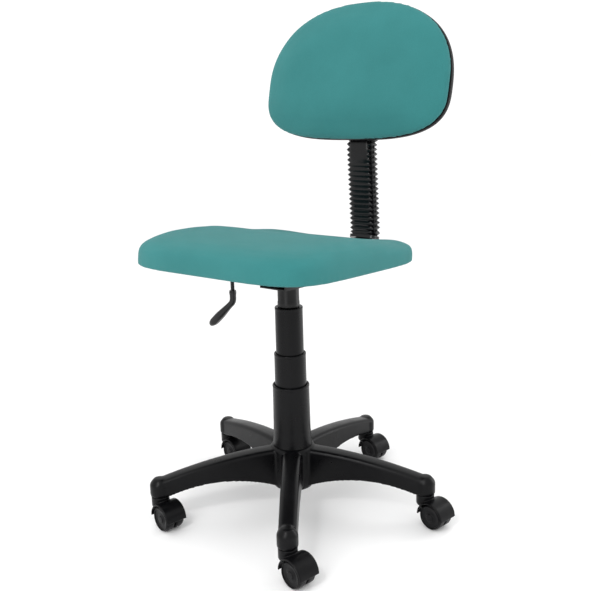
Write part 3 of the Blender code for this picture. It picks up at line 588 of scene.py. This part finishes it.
def seat_cushion():
    shrink = -0.0010
    rings = [[(x, y, GAP) for x, y in seat_outline(0.004 + shrink)],
             [(x, y, 0.004) for x, y in seat_outline(0.001 + shrink)],
             [(x, y, 0.010) for x, y in seat_outline(shrink)]]
    rise = SEAT_TOP - SEAT_WALL_TOP - 0.003
    for inset, height in crown(SEAT_SHOULDER, rise, SEAT_SHOULDER_ROUNDNESS):
        share = height / rise
        base = SEAT_WALL_TOP + height
        rings.append([(x, y, base + share * seat_contour(x, y - SEAT_CENTRE_Y))
                      for x, y in seat_outline(inset + shrink)])
    for inset in (0.09, 0.13, 0.17):
        rings.append([(x, y, SEAT_WALL_TOP + rise + seat_contour(x, y - SEAT_CENTRE_Y))
                      for x, y in seat_outline(inset + shrink)])
    pad = voxel_mesh("seat_pad", skin(rings))
    inflate(pad, lambda co: co.z < 0.0045, 0.0050)
    pad = subdivided("seat_pad", pad)
    for vertex in pad.vertices:
        co = vertex.co
        angle = math.atan2(co.y - SEAT_CENTRE_Y, co.x)
        low = 1 - smoothstep(0.003, 0.020, co.z)
        outward = Vector((co.x, co.y - SEAT_CENTRE_Y, 0.0)).normalized()
        co += outward * gathers(angle, SEAT_GATHER * low)
        co.z = max(co.z, GAP)
    roof = BOARD_TOP + GAP
    recess = skin([[(x, y, z) for x, y in seat_outline(BOARD_INSET - 0.0006, 64)]
                   for z in (-0.01, roof)])
    pad = boolean("seat_pad", pad, [("DIFFERENCE", to_mesh("recess", recess))])
    pad.transform(SEAT)
    cushion = show("seat_pad", pad, "seat_carriage", "seat_fabric", ["seat_cushion"], 60)


def back_outline(inset, count=160):
    """A broad dome over a flatter foot with tight corners, as (x, z)."""
    centre = BACK_WIDEST * BACK_HEIGHT
    shrink = 1 - inset / BACK_HALF_WIDTH
    points = []
    for i in range(count):
        angle = math.tau * i / count
        c, s = math.cos(angle), math.sin(angle)
        n = BACK_TOP_ROUNDNESS if s >= 0 else BACK_BOTTOM_ROUNDNESS
        reach = (BACK_HEIGHT - centre if s >= 0 else centre) - inset
        points.append((math.copysign(abs(c) ** (2 / n), c) * BACK_HALF_WIDTH * shrink,
                       centre + math.copysign(abs(s) ** (2 / n), s) * reach))
    return points


def back_ring(inset, depth):
    return [(x, depth, z) for x, z in back_outline(inset)]


def back_cushion():
    shrink = -0.0020
    rings = [back_ring(0.003 + shrink, PAD_REAR), back_ring(shrink, PAD_REAR - 0.003)]
    for inset, height in crown(PAD_SHOULDER, PAD_RISE, PAD_ROUNDNESS):
        rings.append(back_ring(inset + shrink, PAD_WALL - height))
    pad = voxel_mesh("back_pad", skin(rings))
    inflate(pad, lambda co: co.y > PAD_REAR - 0.0035, 0.0045)
    pad = subdivided("back_pad", pad)
    centre = BACK_WIDEST * BACK_HEIGHT
    for vertex in pad.vertices:
        co = vertex.co
        angle = math.atan2(co.z - centre, co.x)
        rear = smoothstep(-0.024, -0.013, co.y)
        outward = Vector((co.x, 0.0, co.z - centre)).normalized()
        co += outward * gathers(angle, BACK_GATHER * rear)
        co.y = min(co.y, PAD_REAR)
    pad.transform(BACK)
    cushion = show("back_pad", pad, "backrest", "back_fabric", ["back_cushion"], 60)


# ------------------------------------------------------------------ back shell and fixings

def back_shell():
    """A thin dished moulding with a rolled rim, and a hole for each screw."""
    outside = [(0.060, 0.0160), (0.040, 0.0144), (0.025, 0.0120), (0.014, 0.0093),
               (0.006, 0.0058), (0.0018, 0.0026), (0.0, -0.0010), (0.0, -0.0085),
               (0.0007, -0.0097), (0.0018, -0.0100)]
    inside = [(0.0028, -0.0098), (0.0035, -0.0088), (0.0037, -0.0015), (0.009, 0.0030),
              (0.027, 0.0090), (0.062, 0.0130)]
    shell = to_mesh("shell", skin([back_ring(inset, depth) for inset, depth in
                                   outside + inside]))
    holes = [to_mesh("hole", turned([(0.0, -0.02), (0.0024, -0.02), (0.0024, 0.02), (0.0, 0.02)],
                                    24), Matrix.Translation((x, 0.0, z))
                     @ Matrix.Rotation(math.pi / 2, 4, "X")) for x, z in SCREW_PLACES]
    shell = boolean("back_shell_moulding", shell, [("DIFFERENCE", hole) for hole in holes])
    shell.transform(BACK)
    show("back_shell_moulding", shell, "backrest", "shell_plastic", ["back_shell"])


def drive_slot(turn):
    """A bar that cuts one arm pair of a cross recess into a screw's head."""
    bm = bmesh.new()
    bmesh.ops.create_cube(bm, size=1.0)
    shape = Matrix.Diagonal((0.0050, 0.0009, 0.0026, 1.0))
    return to_mesh("slot", bm, Matrix.Translation((0.0, 0.0, 0.0026))
                   @ Matrix.Rotation(turn, 4, "Z") @ shape)


def back_screws():
    head = rounded([(0.0, -0.0268), (0.0020, -0.0268), (0.0020, 0.0), (0.0045, 0.0, 0.0003),
                    (0.0040, 0.0022, 0.0012), (0.0, 0.0024)], closed=False)
    screw = boolean("back_screw", to_mesh("screw", turned(head, 32)),
                    [("DIFFERENCE", drive_slot(0.0)), ("DIFFERENCE", drive_slot(math.pi / 2))])
    for number, (x, z) in enumerate(SCREW_PLACES, 1):
        mesh = screw.copy()
        mesh.transform(BACK @ Matrix.Translation((x, BRACKET_REAR + GAP, z))
                       @ Matrix.Rotation(-math.pi / 2, 4, "X"))
        show(f"back_pan_screw_{number}", mesh, "backrest", "bright_steel",
             [f"back_screw_{number}"])


def seat_bolts():
    """Flanged hex bolts up through the mechanism's plate."""
    flange = rounded([(0.0, 0.0), (0.0070, 0.0, 0.0003), (0.0070, -0.0010, 0.0003),
                      (0.0050, -0.0016)], closed=False)
    flange.append(Vector((0.0, -0.0016)))
    shank = [(0.0, 0.0110), (0.0026, 0.0110), (0.0030, 0.0104), (0.0030, -0.0005),
             (0.0, -0.0005)]
    hexagon = [(0.0052 * math.cos(math.tau * i / 6), 0.0052 * math.sin(math.tau * i / 6))
               for i in range(6)]
    prism = skin([[(x * s, y * s, z) for x, y in hexagon]
                  for s, z in ((1.0, -0.0010), (1.0, -0.0036), (0.90, -0.0042))])
    bolt = boolean("seat_bolt", to_mesh("flange", turned(flange, 32)),
                   [("UNION", to_mesh("shank", turned(shank, 24))),
                    ("UNION", to_mesh("prism", prism))])
    for number in range(1, 5):
        low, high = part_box(f"seat_bolt_{number}")
        place = SEAT.inverted() @ ((Vector(low) + Vector(high)) / 2)
        mesh = bolt.copy()
        mesh.transform(SEAT @ Matrix.Translation((place.x, place.y, -0.0018)))
        show(f"seat_hex_bolt_{number}", mesh, "seat_carriage", "bright_steel",
             [f"seat_bolt_{number}"])


def dust_cover_staples():
    """Wire staples round the edge of the cloth under the seat."""
    curve = bpy.data.curves.new("staples", "CURVE")
    curve.dimensions = "3D"
    curve.bevel_depth, curve.bevel_resolution = 0.0004, 2
    curve.use_fill_caps = True
    outline = seat_outline(BOARD_INSET + 0.011, 240)
    travelled, last = 0.0, Vector(outline[-1])
    for i, point in enumerate(outline):
        point = Vector(point)
        travelled += (point - last).length
        last = point
        if travelled < 0.042:
            continue
        travelled = 0.0
        ahead = (Vector(outline[(i + 1) % len(outline)]) - point).normalized() * 0.005
        spline = curve.splines.new("POLY")
        path = [(*(point - ahead), 0.0010), (*(point - ahead), -0.0004),
                (*(point + ahead), -0.0004), (*(point + ahead), 0.0010)]
        spline.points.add(3)
        for target, place in zip(spline.points, path):
            target.co = (*place, 1.0)
    holder = bpy.data.objects.new("staples_work", curve)
    bpy.context.scene.collection.objects.link(holder)
    mesh = settle(holder, "dust_cover_staples")
    mesh.transform(SEAT)
    show("dust_cover_staples", mesh, "seat_carriage", "bright_steel")


# ------------------------------------------------------------------ ribbed sleeve and knobs

def back_point(y, z):
    return BACK @ Vector((0.0, y, z))


def seat_point(y, z):
    return SEAT @ Vector((0.0, y, z))


def arc_route(corners, radii, steps):
    """Straight runs in the chair's middle plane with their inner corners rounded."""
    profile = [(p.y, p.z, r) for p, r in zip(corners, [0.0, *radii, 0.0])]
    return [Vector((AXIS.x, y, z)) for y, z in rounded(profile, closed=False, steps=steps)]


def stations(route, count):
    """Evenly spaced points and directions along a route."""
    lengths = [0.0]
    for a, b in zip(route, route[1:]):
        lengths.append(lengths[-1] + (b - a).length)
    found = []
    k = 0
    for i in range(count):
        want = lengths[-1] * i / (count - 1)
        while k < len(route) - 2 and lengths[k + 1] < want:
            k += 1
        a, b = route[k], route[k + 1]
        before = route[max(k - 1, 0)]
        beyond = route[min(k + 2, len(route) - 1)]
        t = (want - lengths[k]) / (b - a).length
        ahead = (b - before).normalized().lerp((beyond - a).normalized(), t)
        found.append((a.lerp(b, t), ahead.normalized()))
    return found


def sleeve_boot():
    """The ribbed sleeve: sharp ribs at its sides, shallow at its front, and smooth high up."""
    sides, bar_z = 56, -0.00885
    route = [p for p in arc_route([seat_point(0.035, bar_z), seat_point(0.276, bar_z),
                                   back_point(BAR_OFFSET, -0.004), back_point(BAR_OFFSET, 0.175)],
                                  [0.042, 0.090], 24)[:-1] if p.z > SLEEVE_FOOT_HEIGHT]
    route.append(back_point(BAR_OFFSET, BRACKET_BOTTOM - 0.002))
    rings = []
    count = RIB_COUNT * RINGS_PER_RIB + 1
    for i, (point, ahead) in enumerate(stations(route, count)):
        phase = (i % RINGS_PER_RIB) / RINGS_PER_RIB
        rib = (1 - abs(2 * phase - 1)) ** 0.85
        smooth_front = smoothstep(SMOOTH_FROM, SMOOTH_TO, point.z)
        end = min(i, count - 1 - i) / RINGS_PER_RIB
        normal = Vector((0.0, -ahead.z, ahead.y))
        ring = []
        for u, v in superellipse(1.0, 1.0, SLEEVE_ROUNDNESS, sides):
            front = smoothstep(0.45, 0.95, v) * (1 - smoothstep(0.60, 1.0, abs(u)))
            depth = rib * (1 - front * (0.50 + 0.50 * smooth_front))
            depth = max(depth, front * (0.25 + 0.25 * smooth_front))
            if end < 0.9:
                depth = max(depth, 0.85)
            half_width = VALLEY_HALF_WIDTH + RIB_RISE_WIDTH * depth
            half_depth = VALLEY_HALF_DEPTH + RIB_RISE_DEPTH * depth
            ring.append(point + Vector((u * half_width, 0.0, 0.0))
                        + normal * (v * half_depth))
        rings.append(ring)
    for point, ahead in reversed(stations(route, 25)):
        normal = Vector((0.0, -ahead.z, ahead.y))
        rings.append([point + Vector((u, 0.0, 0.0)) + normal * v
                      for u, v in superellipse(LINING_HALF_WIDTH, LINING_HALF_DEPTH,
                                               SLEEVE_ROUNDNESS, sides)])
    mesh = to_mesh("bar_sleeve_boot", skin(rings, ring_of_rings=True))
    boot = show("bar_sleeve_boot", mesh, None, "sleeve_plastic", ["bar_sleeve"], 50)
    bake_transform(boot)


def clamp_knob(name, node, body, place):
    """A six-lobed hand knob on its stud, with a dished end."""
    sides = 96
    profile = rounded([(0.0, 0.0047), (0.004, 0.0047, 0.0004), (0.004, 0.0),
                       (0.0100, 0.0, 0.0008), (0.0165, -0.0070, 0.0040),
                       (0.0190, -0.0120, 0.0030), (0.0186, -0.0220, 0.0030),
                       (0.0150, -0.0245, 0.0025), (0.0100, -0.0225, 0.0030), (0.0, -0.0222)],
                      closed=False)
    bm = turned(profile, sides)
    for vertex in bm.verts:
        radius = vertex.co.xy.length
        if radius > 0.006:
            lobe = smoothstep(0.010, 0.0185, radius)
            angle = math.atan2(vertex.co.y, vertex.co.x)
            scale = 1 - 0.13 * lobe * (0.5 - 0.5 * math.cos(6 * angle)) ** 1.5
            vertex.co.x *= scale
            vertex.co.y *= scale
    mesh = to_mesh(name, bm, place)
    show(name, mesh, body, "knob_plastic", [node])


# ------------------------------------------------------------------ height lever

def lever_grip():
    """A moulded paddle over the lever rod's end, flat and broad towards its tip."""
    depth_y = middle("lever_handle").y
    low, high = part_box("lever_handle")
    x = high[0] - 0.0068
    route = [Vector((px, depth_y, pz)) for px, pz in rounded(
        [(x, high[2]), (x, 0.404, 0.016), (low[0] + 0.0025, low[2] + 0.0035)], closed=False,
        steps=10)]
    rings = []
    count = 48
    for i, (point, ahead) in enumerate(stations(route, count)):
        t = i / (count - 1)
        paddle = smoothstep(0.30, 0.72, t)
        collar = 0.0007 * math.exp(-((t - 0.045) / 0.03) ** 2)
        close = math.sqrt(max(1 - ((t - 0.86) / 0.142) ** 2, 0.0)) if t > 0.86 else 1.0
        nose = 0.25 + 0.75 * close
        half_width = (0.0064 + 0.0040 * paddle + collar) * nose
        half_depth = (0.0062 + 0.0024 * paddle * (1 - 0.35 * smoothstep(0.8, 1, t))
                      + collar) * nose
        normal = Vector((ahead.z, 0.0, -ahead.x))
        rings.append([point + normal * (half_depth * v) + Vector((0.0, half_width * u, 0.0))
                      for u, v in superellipse(1.0, 1.0, 2.5, 40)])
    grip = to_mesh("lever_grip", skin(rings))
    bore_top = high[2] + 0.002
    bore = turned([(0.0, bore_top - 0.0215), (0.0043, bore_top - 0.0215), (0.0043, bore_top),
                   (0.0, bore_top)], 32)
    grip = boolean("lever_grip", grip, [("DIFFERENCE", to_mesh(
        "bore", bore, Matrix.Translation((x, depth_y, 0.0))))])
    show("lever_grip", grip, "lever", "knob_plastic", ["lever_handle"])


# ------------------------------------------------------------------ column

def cover(name, node, body, top_radius, foot_radius, lip_radius):
    """One telescopic stage: a slightly tapered tube whose top rolls in over the next one."""
    low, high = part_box(node)
    foot, top = low[2], high[2]
    waist = foot + 0.25 * (top - foot)
    waist_radius = top_radius + 0.15 * (foot_radius - top_radius)
    profile = rounded([
        (lip_radius, top), (top_radius, top, 0.0016), (top_radius, top - 0.004),
        (top_radius - 0.0004, top - 0.0055, 0.001), (top_radius - 0.0004, top - 0.0075, 0.001),
        (waist_radius, waist, 0.02), (foot_radius, foot), (foot_radius - COVER_WALL, foot),
        (waist_radius - COVER_WALL, waist), (top_radius - COVER_WALL, top - COVER_LIP),
        (lip_radius, top - COVER_LIP)])
    mesh = to_mesh(name, turned(profile, 96, closed=True), COLUMN)
    show(name, mesh, body, "cover_plastic", [node])


def neck_socket():
    """The taper socket between the top cover and the seat's mechanism."""
    low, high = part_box("taper_socket")
    outer = (high[0] - low[0]) / 2
    bore = 0.0145
    profile = rounded([(bore, low[2]), (outer, low[2], 0.0015), (outer, low[2] + 0.010),
                       (outer - 0.0006, low[2] + 0.011), (outer - 0.0006, high[2], 0.001),
                       (bore, high[2])])
    mesh = to_mesh("neck_socket", turned(profile, 64, closed=True), COLUMN)
    show("neck_socket", mesh, "seat_carriage", "black_steel", ["taper_socket"])


# ------------------------------------------------------------------ star base

def leg_top(r):
    return 0.127 - 0.034 * (max(r - 0.04, 0.0) / 0.23) ** 1.8


def leg_bottom(r):
    if r < 0.165:
        return 0.075 - 0.032 * ((0.165 - r) / 0.14) ** 2
    return max(0.075 - 0.014 * ((r - 0.165) / 0.09) ** 2, KNOB_BOTTOM)


def leg_half_width(r):
    return 0.020 - 0.003 * r / STEM_CIRCLE


def leg_section(r, direction):
    """Upright sides with a slight draft, rounded shoulders and a gently crowned top."""
    across = Vector((-direction.y, direction.x, 0.0))
    half, top, bottom = leg_half_width(r), leg_top(r), leg_bottom(r)
    outline = rounded([(-half, bottom), (half, bottom), (half - 0.001, top - 0.001, 0.008),
                       (0.0, top + 0.0002, 0.060), (-half + 0.001, top - 0.001, 0.008)],
                      steps=8)
    return [AXIS + direction * r + across * s + Vector((0.0, 0.0, z)) for s, z in outline]


def pocket_section(r, direction):
    across = Vector((-direction.y, direction.x, 0.0))
    half = leg_half_width(r) - LEG_WALL
    top = leg_top(r) - LEG_WALL - 0.002
    bottom = leg_bottom(r) - 0.010
    outline = [(-half, bottom), (half, bottom), (half, top - 0.004), (0.0, top),
               (-half, top - 0.004)]
    return [AXIS + direction * r + across * s + Vector((0.0, 0.0, z)) for s, z in outline]


def star_base():
    """Hub, five arched legs with ribbed undersides, and a domed knob over each caster."""
    hub = turned(rounded([
        (HUB_BORE, HUB_TOP - 0.004), (0.0372, HUB_TOP - 0.0005, 0.001),
        (0.0410, HUB_TOP, 0.0015), (HUB_RADIUS, 0.1250, 0.004), (HUB_RADIUS, 0.056, 0.006),
        (0.0410, HUB_BOTTOM, 0.002), (HUB_BORE, HUB_BOTTOM)], steps=6), 96, closed=True)
    knob = rounded([(0.0, KNOB_TOP), (0.0105, KNOB_TOP - 0.0004, 0.006),
                    (KNOB_RADIUS, KNOB_TOP - 0.0110, 0.009), (KNOB_RADIUS, KNOB_BOTTOM),
                    (0.0, KNOB_BOTTOM)], closed=False, steps=8)
    swivel_room = [(0.0, 0.040), (KNOB_RADIUS + 0.004, 0.040),
                   (KNOB_RADIUS + 0.004, KNOB_BOTTOM), (STEM_BORE, KNOB_BOTTOM),
                   (STEM_BORE, STEM_BORE_TOP), (0.0, STEM_BORE_TOP)]
    rooms = bmesh.new()
    reach = STEM_CIRCLE
    joins, cuts = [], []
    for stem in STEMS:
        direction = (stem - AXIS).normalized()
        radii = [0.030 + (reach - 0.030) * i / 36 for i in range(37)]
        joins.append(to_mesh("leg", skin([leg_section(r, direction) for r in radii])))
        joins.append(to_mesh("knob", turned(knob, 64), Matrix.Translation(stem)))
        rooms.from_mesh(to_mesh("room", turned(swivel_room, 48), Matrix.Translation(stem)))
        for inner, outer in POCKETS:
            radii = [inner + (outer - inner) * i / 8 for i in range(9)]
            cuts.append(to_mesh("pocket", skin([pocket_section(r, direction) for r in radii])))
    solid = boolean("star_base_moulding", to_mesh("hub", hub, COLUMN),
                    [("UNION", mesh) for mesh in joins])
    solid = boolean("star_base_moulding", solid, [("DIFFERENCE", mesh) for mesh in cuts])
    solid = soften("star_base_moulding", solid, BASE_VOXEL, 9)
    solid = boolean("star_base_moulding", solid, [("DIFFERENCE", to_mesh("rooms", rooms))])
    show("star_base_moulding", solid, "base", "base_plastic", ["star_base"], 60)


# ------------------------------------------------------------------ casters

ACROSS = Matrix.Rotation(-math.pi / 2, 4, "X")


def caster_housing():
    """The hood over both wheels, the web between them and the neck round the stem."""
    hood = turned(rounded([
        (HOOD_INNER, -HOOD_HALF), (HOOD_RADIUS, -HOOD_HALF, 0.0022),
        (HOOD_RADIUS, HOOD_HALF, 0.0022), (HOOD_INNER, HOOD_HALF)]), 128, closed=True)
    half_space = bmesh.new()
    bmesh.ops.create_cube(half_space, size=1.0)
    bmesh.ops.transform(half_space, verts=half_space.verts, matrix=Matrix.Translation(
        (0.0, 0.0, -0.05)) @ Matrix.Diagonal((0.2, 0.2, 0.1, 1.0)))
    hood = boolean("hood", to_mesh("hood", hood, ACROSS),
                   [("DIFFERENCE", to_mesh("below", half_space))])
    arc = [math.radians(a) for a in range(0, 181, 5)]
    outline = [(0.0285 * math.cos(a), 0.0285 * math.sin(a)) for a in arc]
    outline += [(-0.0150, -0.0040), (-0.0070, -0.0085), (0.0070, -0.0085), (0.0150, -0.0040)]
    web = skin([[(x, y, z) for x, z in outline] for y in (-WEB_HALF, WEB_HALF)])
    neck = turned(rounded([
        (0.0, NECK_TOP), (NECK_RADIUS, NECK_TOP, 0.0015), (NECK_RADIUS, NECK_BOTTOM, 0.006),
        (0.0, NECK_BOTTOM - 0.002)], closed=False), 64)
    stem_bore = turned([(0.0, 0.0450), (0.0058, 0.0450), (0.0058, 0.0700), (0.0, 0.0700)], 24)
    to_stem = Matrix.Translation((-TRAIL, 0.0, -AXLE_HEIGHT))
    neck, stem_bore = to_mesh("neck", neck, to_stem), to_mesh("stem_bore", stem_bore, to_stem)
    clearances = []
    for side in (1, -1):
        wheel_room = turned([(0.0, side * WEB_HALF), (HOOD_INNER, side * WEB_HALF),
                             (HOOD_INNER, side * 0.04), (0.0, side * 0.04)], 128)
        clearances.append(("DIFFERENCE", to_mesh("wheel_room", wheel_room, ACROSS)))
    axle_bore = turned([(0.0, -0.03), (WHEEL_BORE, -0.03), (WHEEL_BORE, 0.03), (0.0, 0.03)], 32)
    housing = boolean("caster_hood", hood, [("UNION", neck), ("UNION", to_mesh("web", web))])
    housing = boolean("caster_hood", housing, [
        *clearances, ("DIFFERENCE", to_mesh("axle_bore", axle_bore, ACROSS)),
        ("DIFFERENCE", stem_bore)])
    return soften("caster_hood", housing, HOOD_VOXEL, 3)


def wheel_profile():
    """A wheel's closed outline from its inner face outwards: tread, stepped disc, hub cap."""
    tread, width = AXLE_HEIGHT, WHEEL_WIDTH
    profile = rounded([
        (WHEEL_BORE, 0.0), (tread - 0.0010, 0.0, 0.0012), (tread, 0.0030, 0.004),
        (tread, width - 0.0045, 0.006), (tread - 0.0024, width, 0.0022),
        (0.0206, width, 0.0005), (0.0200, width - 0.0022, 0.0006),
        (0.0130, width - 0.0030, 0.004), (0.0075, width - 0.0018, 0.001),
        (0.0068, width - 0.0002, 0.0008), (0.0, width)], closed=False, steps=6)
    cap_floor = width - 0.0013
    return [*profile, Vector((0.0, cap_floor)), Vector((WHEEL_BORE, cap_floor)), profile[0]]


def casters():
    hood = caster_housing()
    profile = wheel_profile()
    turn = Matrix.Rotation(HEADING, 4, "Z")
    for k, axle in zip(CASTERS, AXLES):
        place = Matrix.Translation(axle) @ turn
        mesh = hood.copy()
        mesh.transform(place)
        show(f"caster_{k}_hood", mesh, f"caster_{k}", "caster_plastic",
             [f"caster_{k}_housing"], 180)
        for label, side in (("left", 1), ("right", -1)):
            wheel = turned(profile, 96)
            outward = Matrix.Rotation(-math.pi / 2 * side, 4, "X")
            shift = Matrix.Translation((0.0, side * (WEB_HALF + GAP), 0.0))
            mesh = to_mesh("wheel", wheel, place @ shift @ outward)
            show(f"caster_{k}_tread_{label}", mesh, f"caster_{k}_{label}", "wheel_plastic",
                 [f"caster_{k}_wheel_{label}"])


# ------------------------------------------------------------------ carried-over nodes

def carried_over():
    """CAD nodes whose shape stands: each takes its slot's procedural material."""
    slots = {}
    for entry in frame["record"]["subparts"]:
        slots[entry["node"]] = entry["material_slot"]
    for name, obj in frame["nodes"].items():
        obj.data.materials.clear()
        obj.data.materials.append(MATERIALS[slots[name]])


# ------------------------------------------------------------------ studio

def area_light(name, place, target, size, power, color=(1.0, 1.0, 1.0)):
    data = bpy.data.lights.new(name, "AREA")
    data.shape = "RECTANGLE"
    data.size, data.size_y = size
    data.energy = power
    data.color = color
    obj = bpy.data.objects.new(name, data)
    bpy.context.scene.collection.objects.link(obj)
    obj.matrix_world = (Matrix.Translation(place)
                        @ (Vector(target) - Vector(place)).to_track_quat("-Z", "Y")
                        .to_matrix().to_4x4())
    return obj


def studio():
    azimuth = math.radians(38.2)
    right = Vector((math.cos(azimuth), math.sin(azimuth), 0.0))
    near = Vector((math.sin(azimuth), -math.cos(azimuth), 0.0))
    data = bpy.data.cameras.new("camera")
    data.lens, data.sensor_width = 47.33, 36.0
    camera = bpy.data.objects.new("camera", data)
    bpy.context.scene.collection.objects.link(camera)
    place = AXIS + right * 0.01377 + near * 1.458 + Vector((0.0, 0.0, 0.783))
    camera.matrix_world = (Matrix.Translation(place)
                           @ Euler((math.radians(76.57), 0.0, azimuth)).to_matrix().to_4x4()
                           @ Matrix.Rotation(math.radians(-1.52), 4, "Z"))
    bpy.context.scene.camera = camera

    aim = AXIS + Vector((0.0, 0.0, 0.45))
    area_light("key", aim + near * 1.9 - right * 1.0 + Vector((0, 0, 0.9)), aim, (0.7, 1.6), 13)
    area_light("glint", aim + near * 1.5 - right * 0.65 + Vector((0, 0, 1.4)), aim,
               (0.25, 0.35), 8)
    area_light("top", aim + near * 0.2 + Vector((0, 0, 2.0)), aim, (1.6, 1.6), 6)
    area_light("rim", aim - near * 0.45 + right * 1.9 + Vector((0, 0, 0.4)), aim, (0.35, 1.8), 10)

    world = bpy.data.worlds.new("studio")
    world.use_nodes = True
    background = world.node_tree.nodes["Background"]
    background.inputs["Color"].default_value = (1.0, 1.0, 1.0, 1.0)
    background.inputs["Strength"].default_value = 1.10
    bpy.context.scene.world = world

    bm = bmesh.new()
    bmesh.ops.create_grid(bm, x_segments=2, y_segments=2, size=12.0)
    mesh = to_mesh("studio_floor", bm, Matrix.Translation((0.0, 0.0, -0.0002)))
    floor = Nodes("studio_floor")
    floor.link(floor.mix_colors(floor.noise(3.0), (0.92, 0.92, 0.92), (0.94, 0.94, 0.94)),
               floor.shader.inputs["Base Color"])
    floor.set(Roughness=0.9, Specular_IOR_Level=0.1)
    mesh.materials.append(floor.material)
    obj = bpy.data.objects.new("studio_floor", mesh)
    bpy.context.scene.collection.objects.link(obj)
    bpy.context.scene.view_settings.view_transform = "Standard"


# ------------------------------------------------------------------ assembly

carried_over()
studio()
seat_cushion()
back_cushion()
back_shell()
back_screws()
seat_bolts()
dust_cover_staples()
sleeve_boot()
clamp_knob("depth_clamp_knob", "depth_knob", "depth_clamp",
           SEAT @ Matrix.Translation((0.0, 0.075, -0.01685)))
clamp_knob("height_clamp_knob", "height_knob", "height_clamp",
           BACK @ Matrix.Translation((0.0, 0.0510, 0.120)) @ Matrix.Rotation(math.pi / 2, 4, "X"))
lever_grip()
cover("lower_column_cover", "cover_lower", "base", 0.0367, 0.0395, 0.0335)
cover("middle_column_cover", "cover_middle", "middle_cover", 0.0316, 0.0320, 0.0286)
cover("upper_column_cover", "cover_upper", "seat_carriage", 0.0275, 0.0275, 0.0148)
neck_socket()
star_base()
casters()
refined("mechanism_frame", "seat_carriage", "black_steel", 0.0007)
refined("back_bracket", "backrest", "black_steel", 0.0006)
refined("back_bar", "bar", "black_steel", 0.0009)
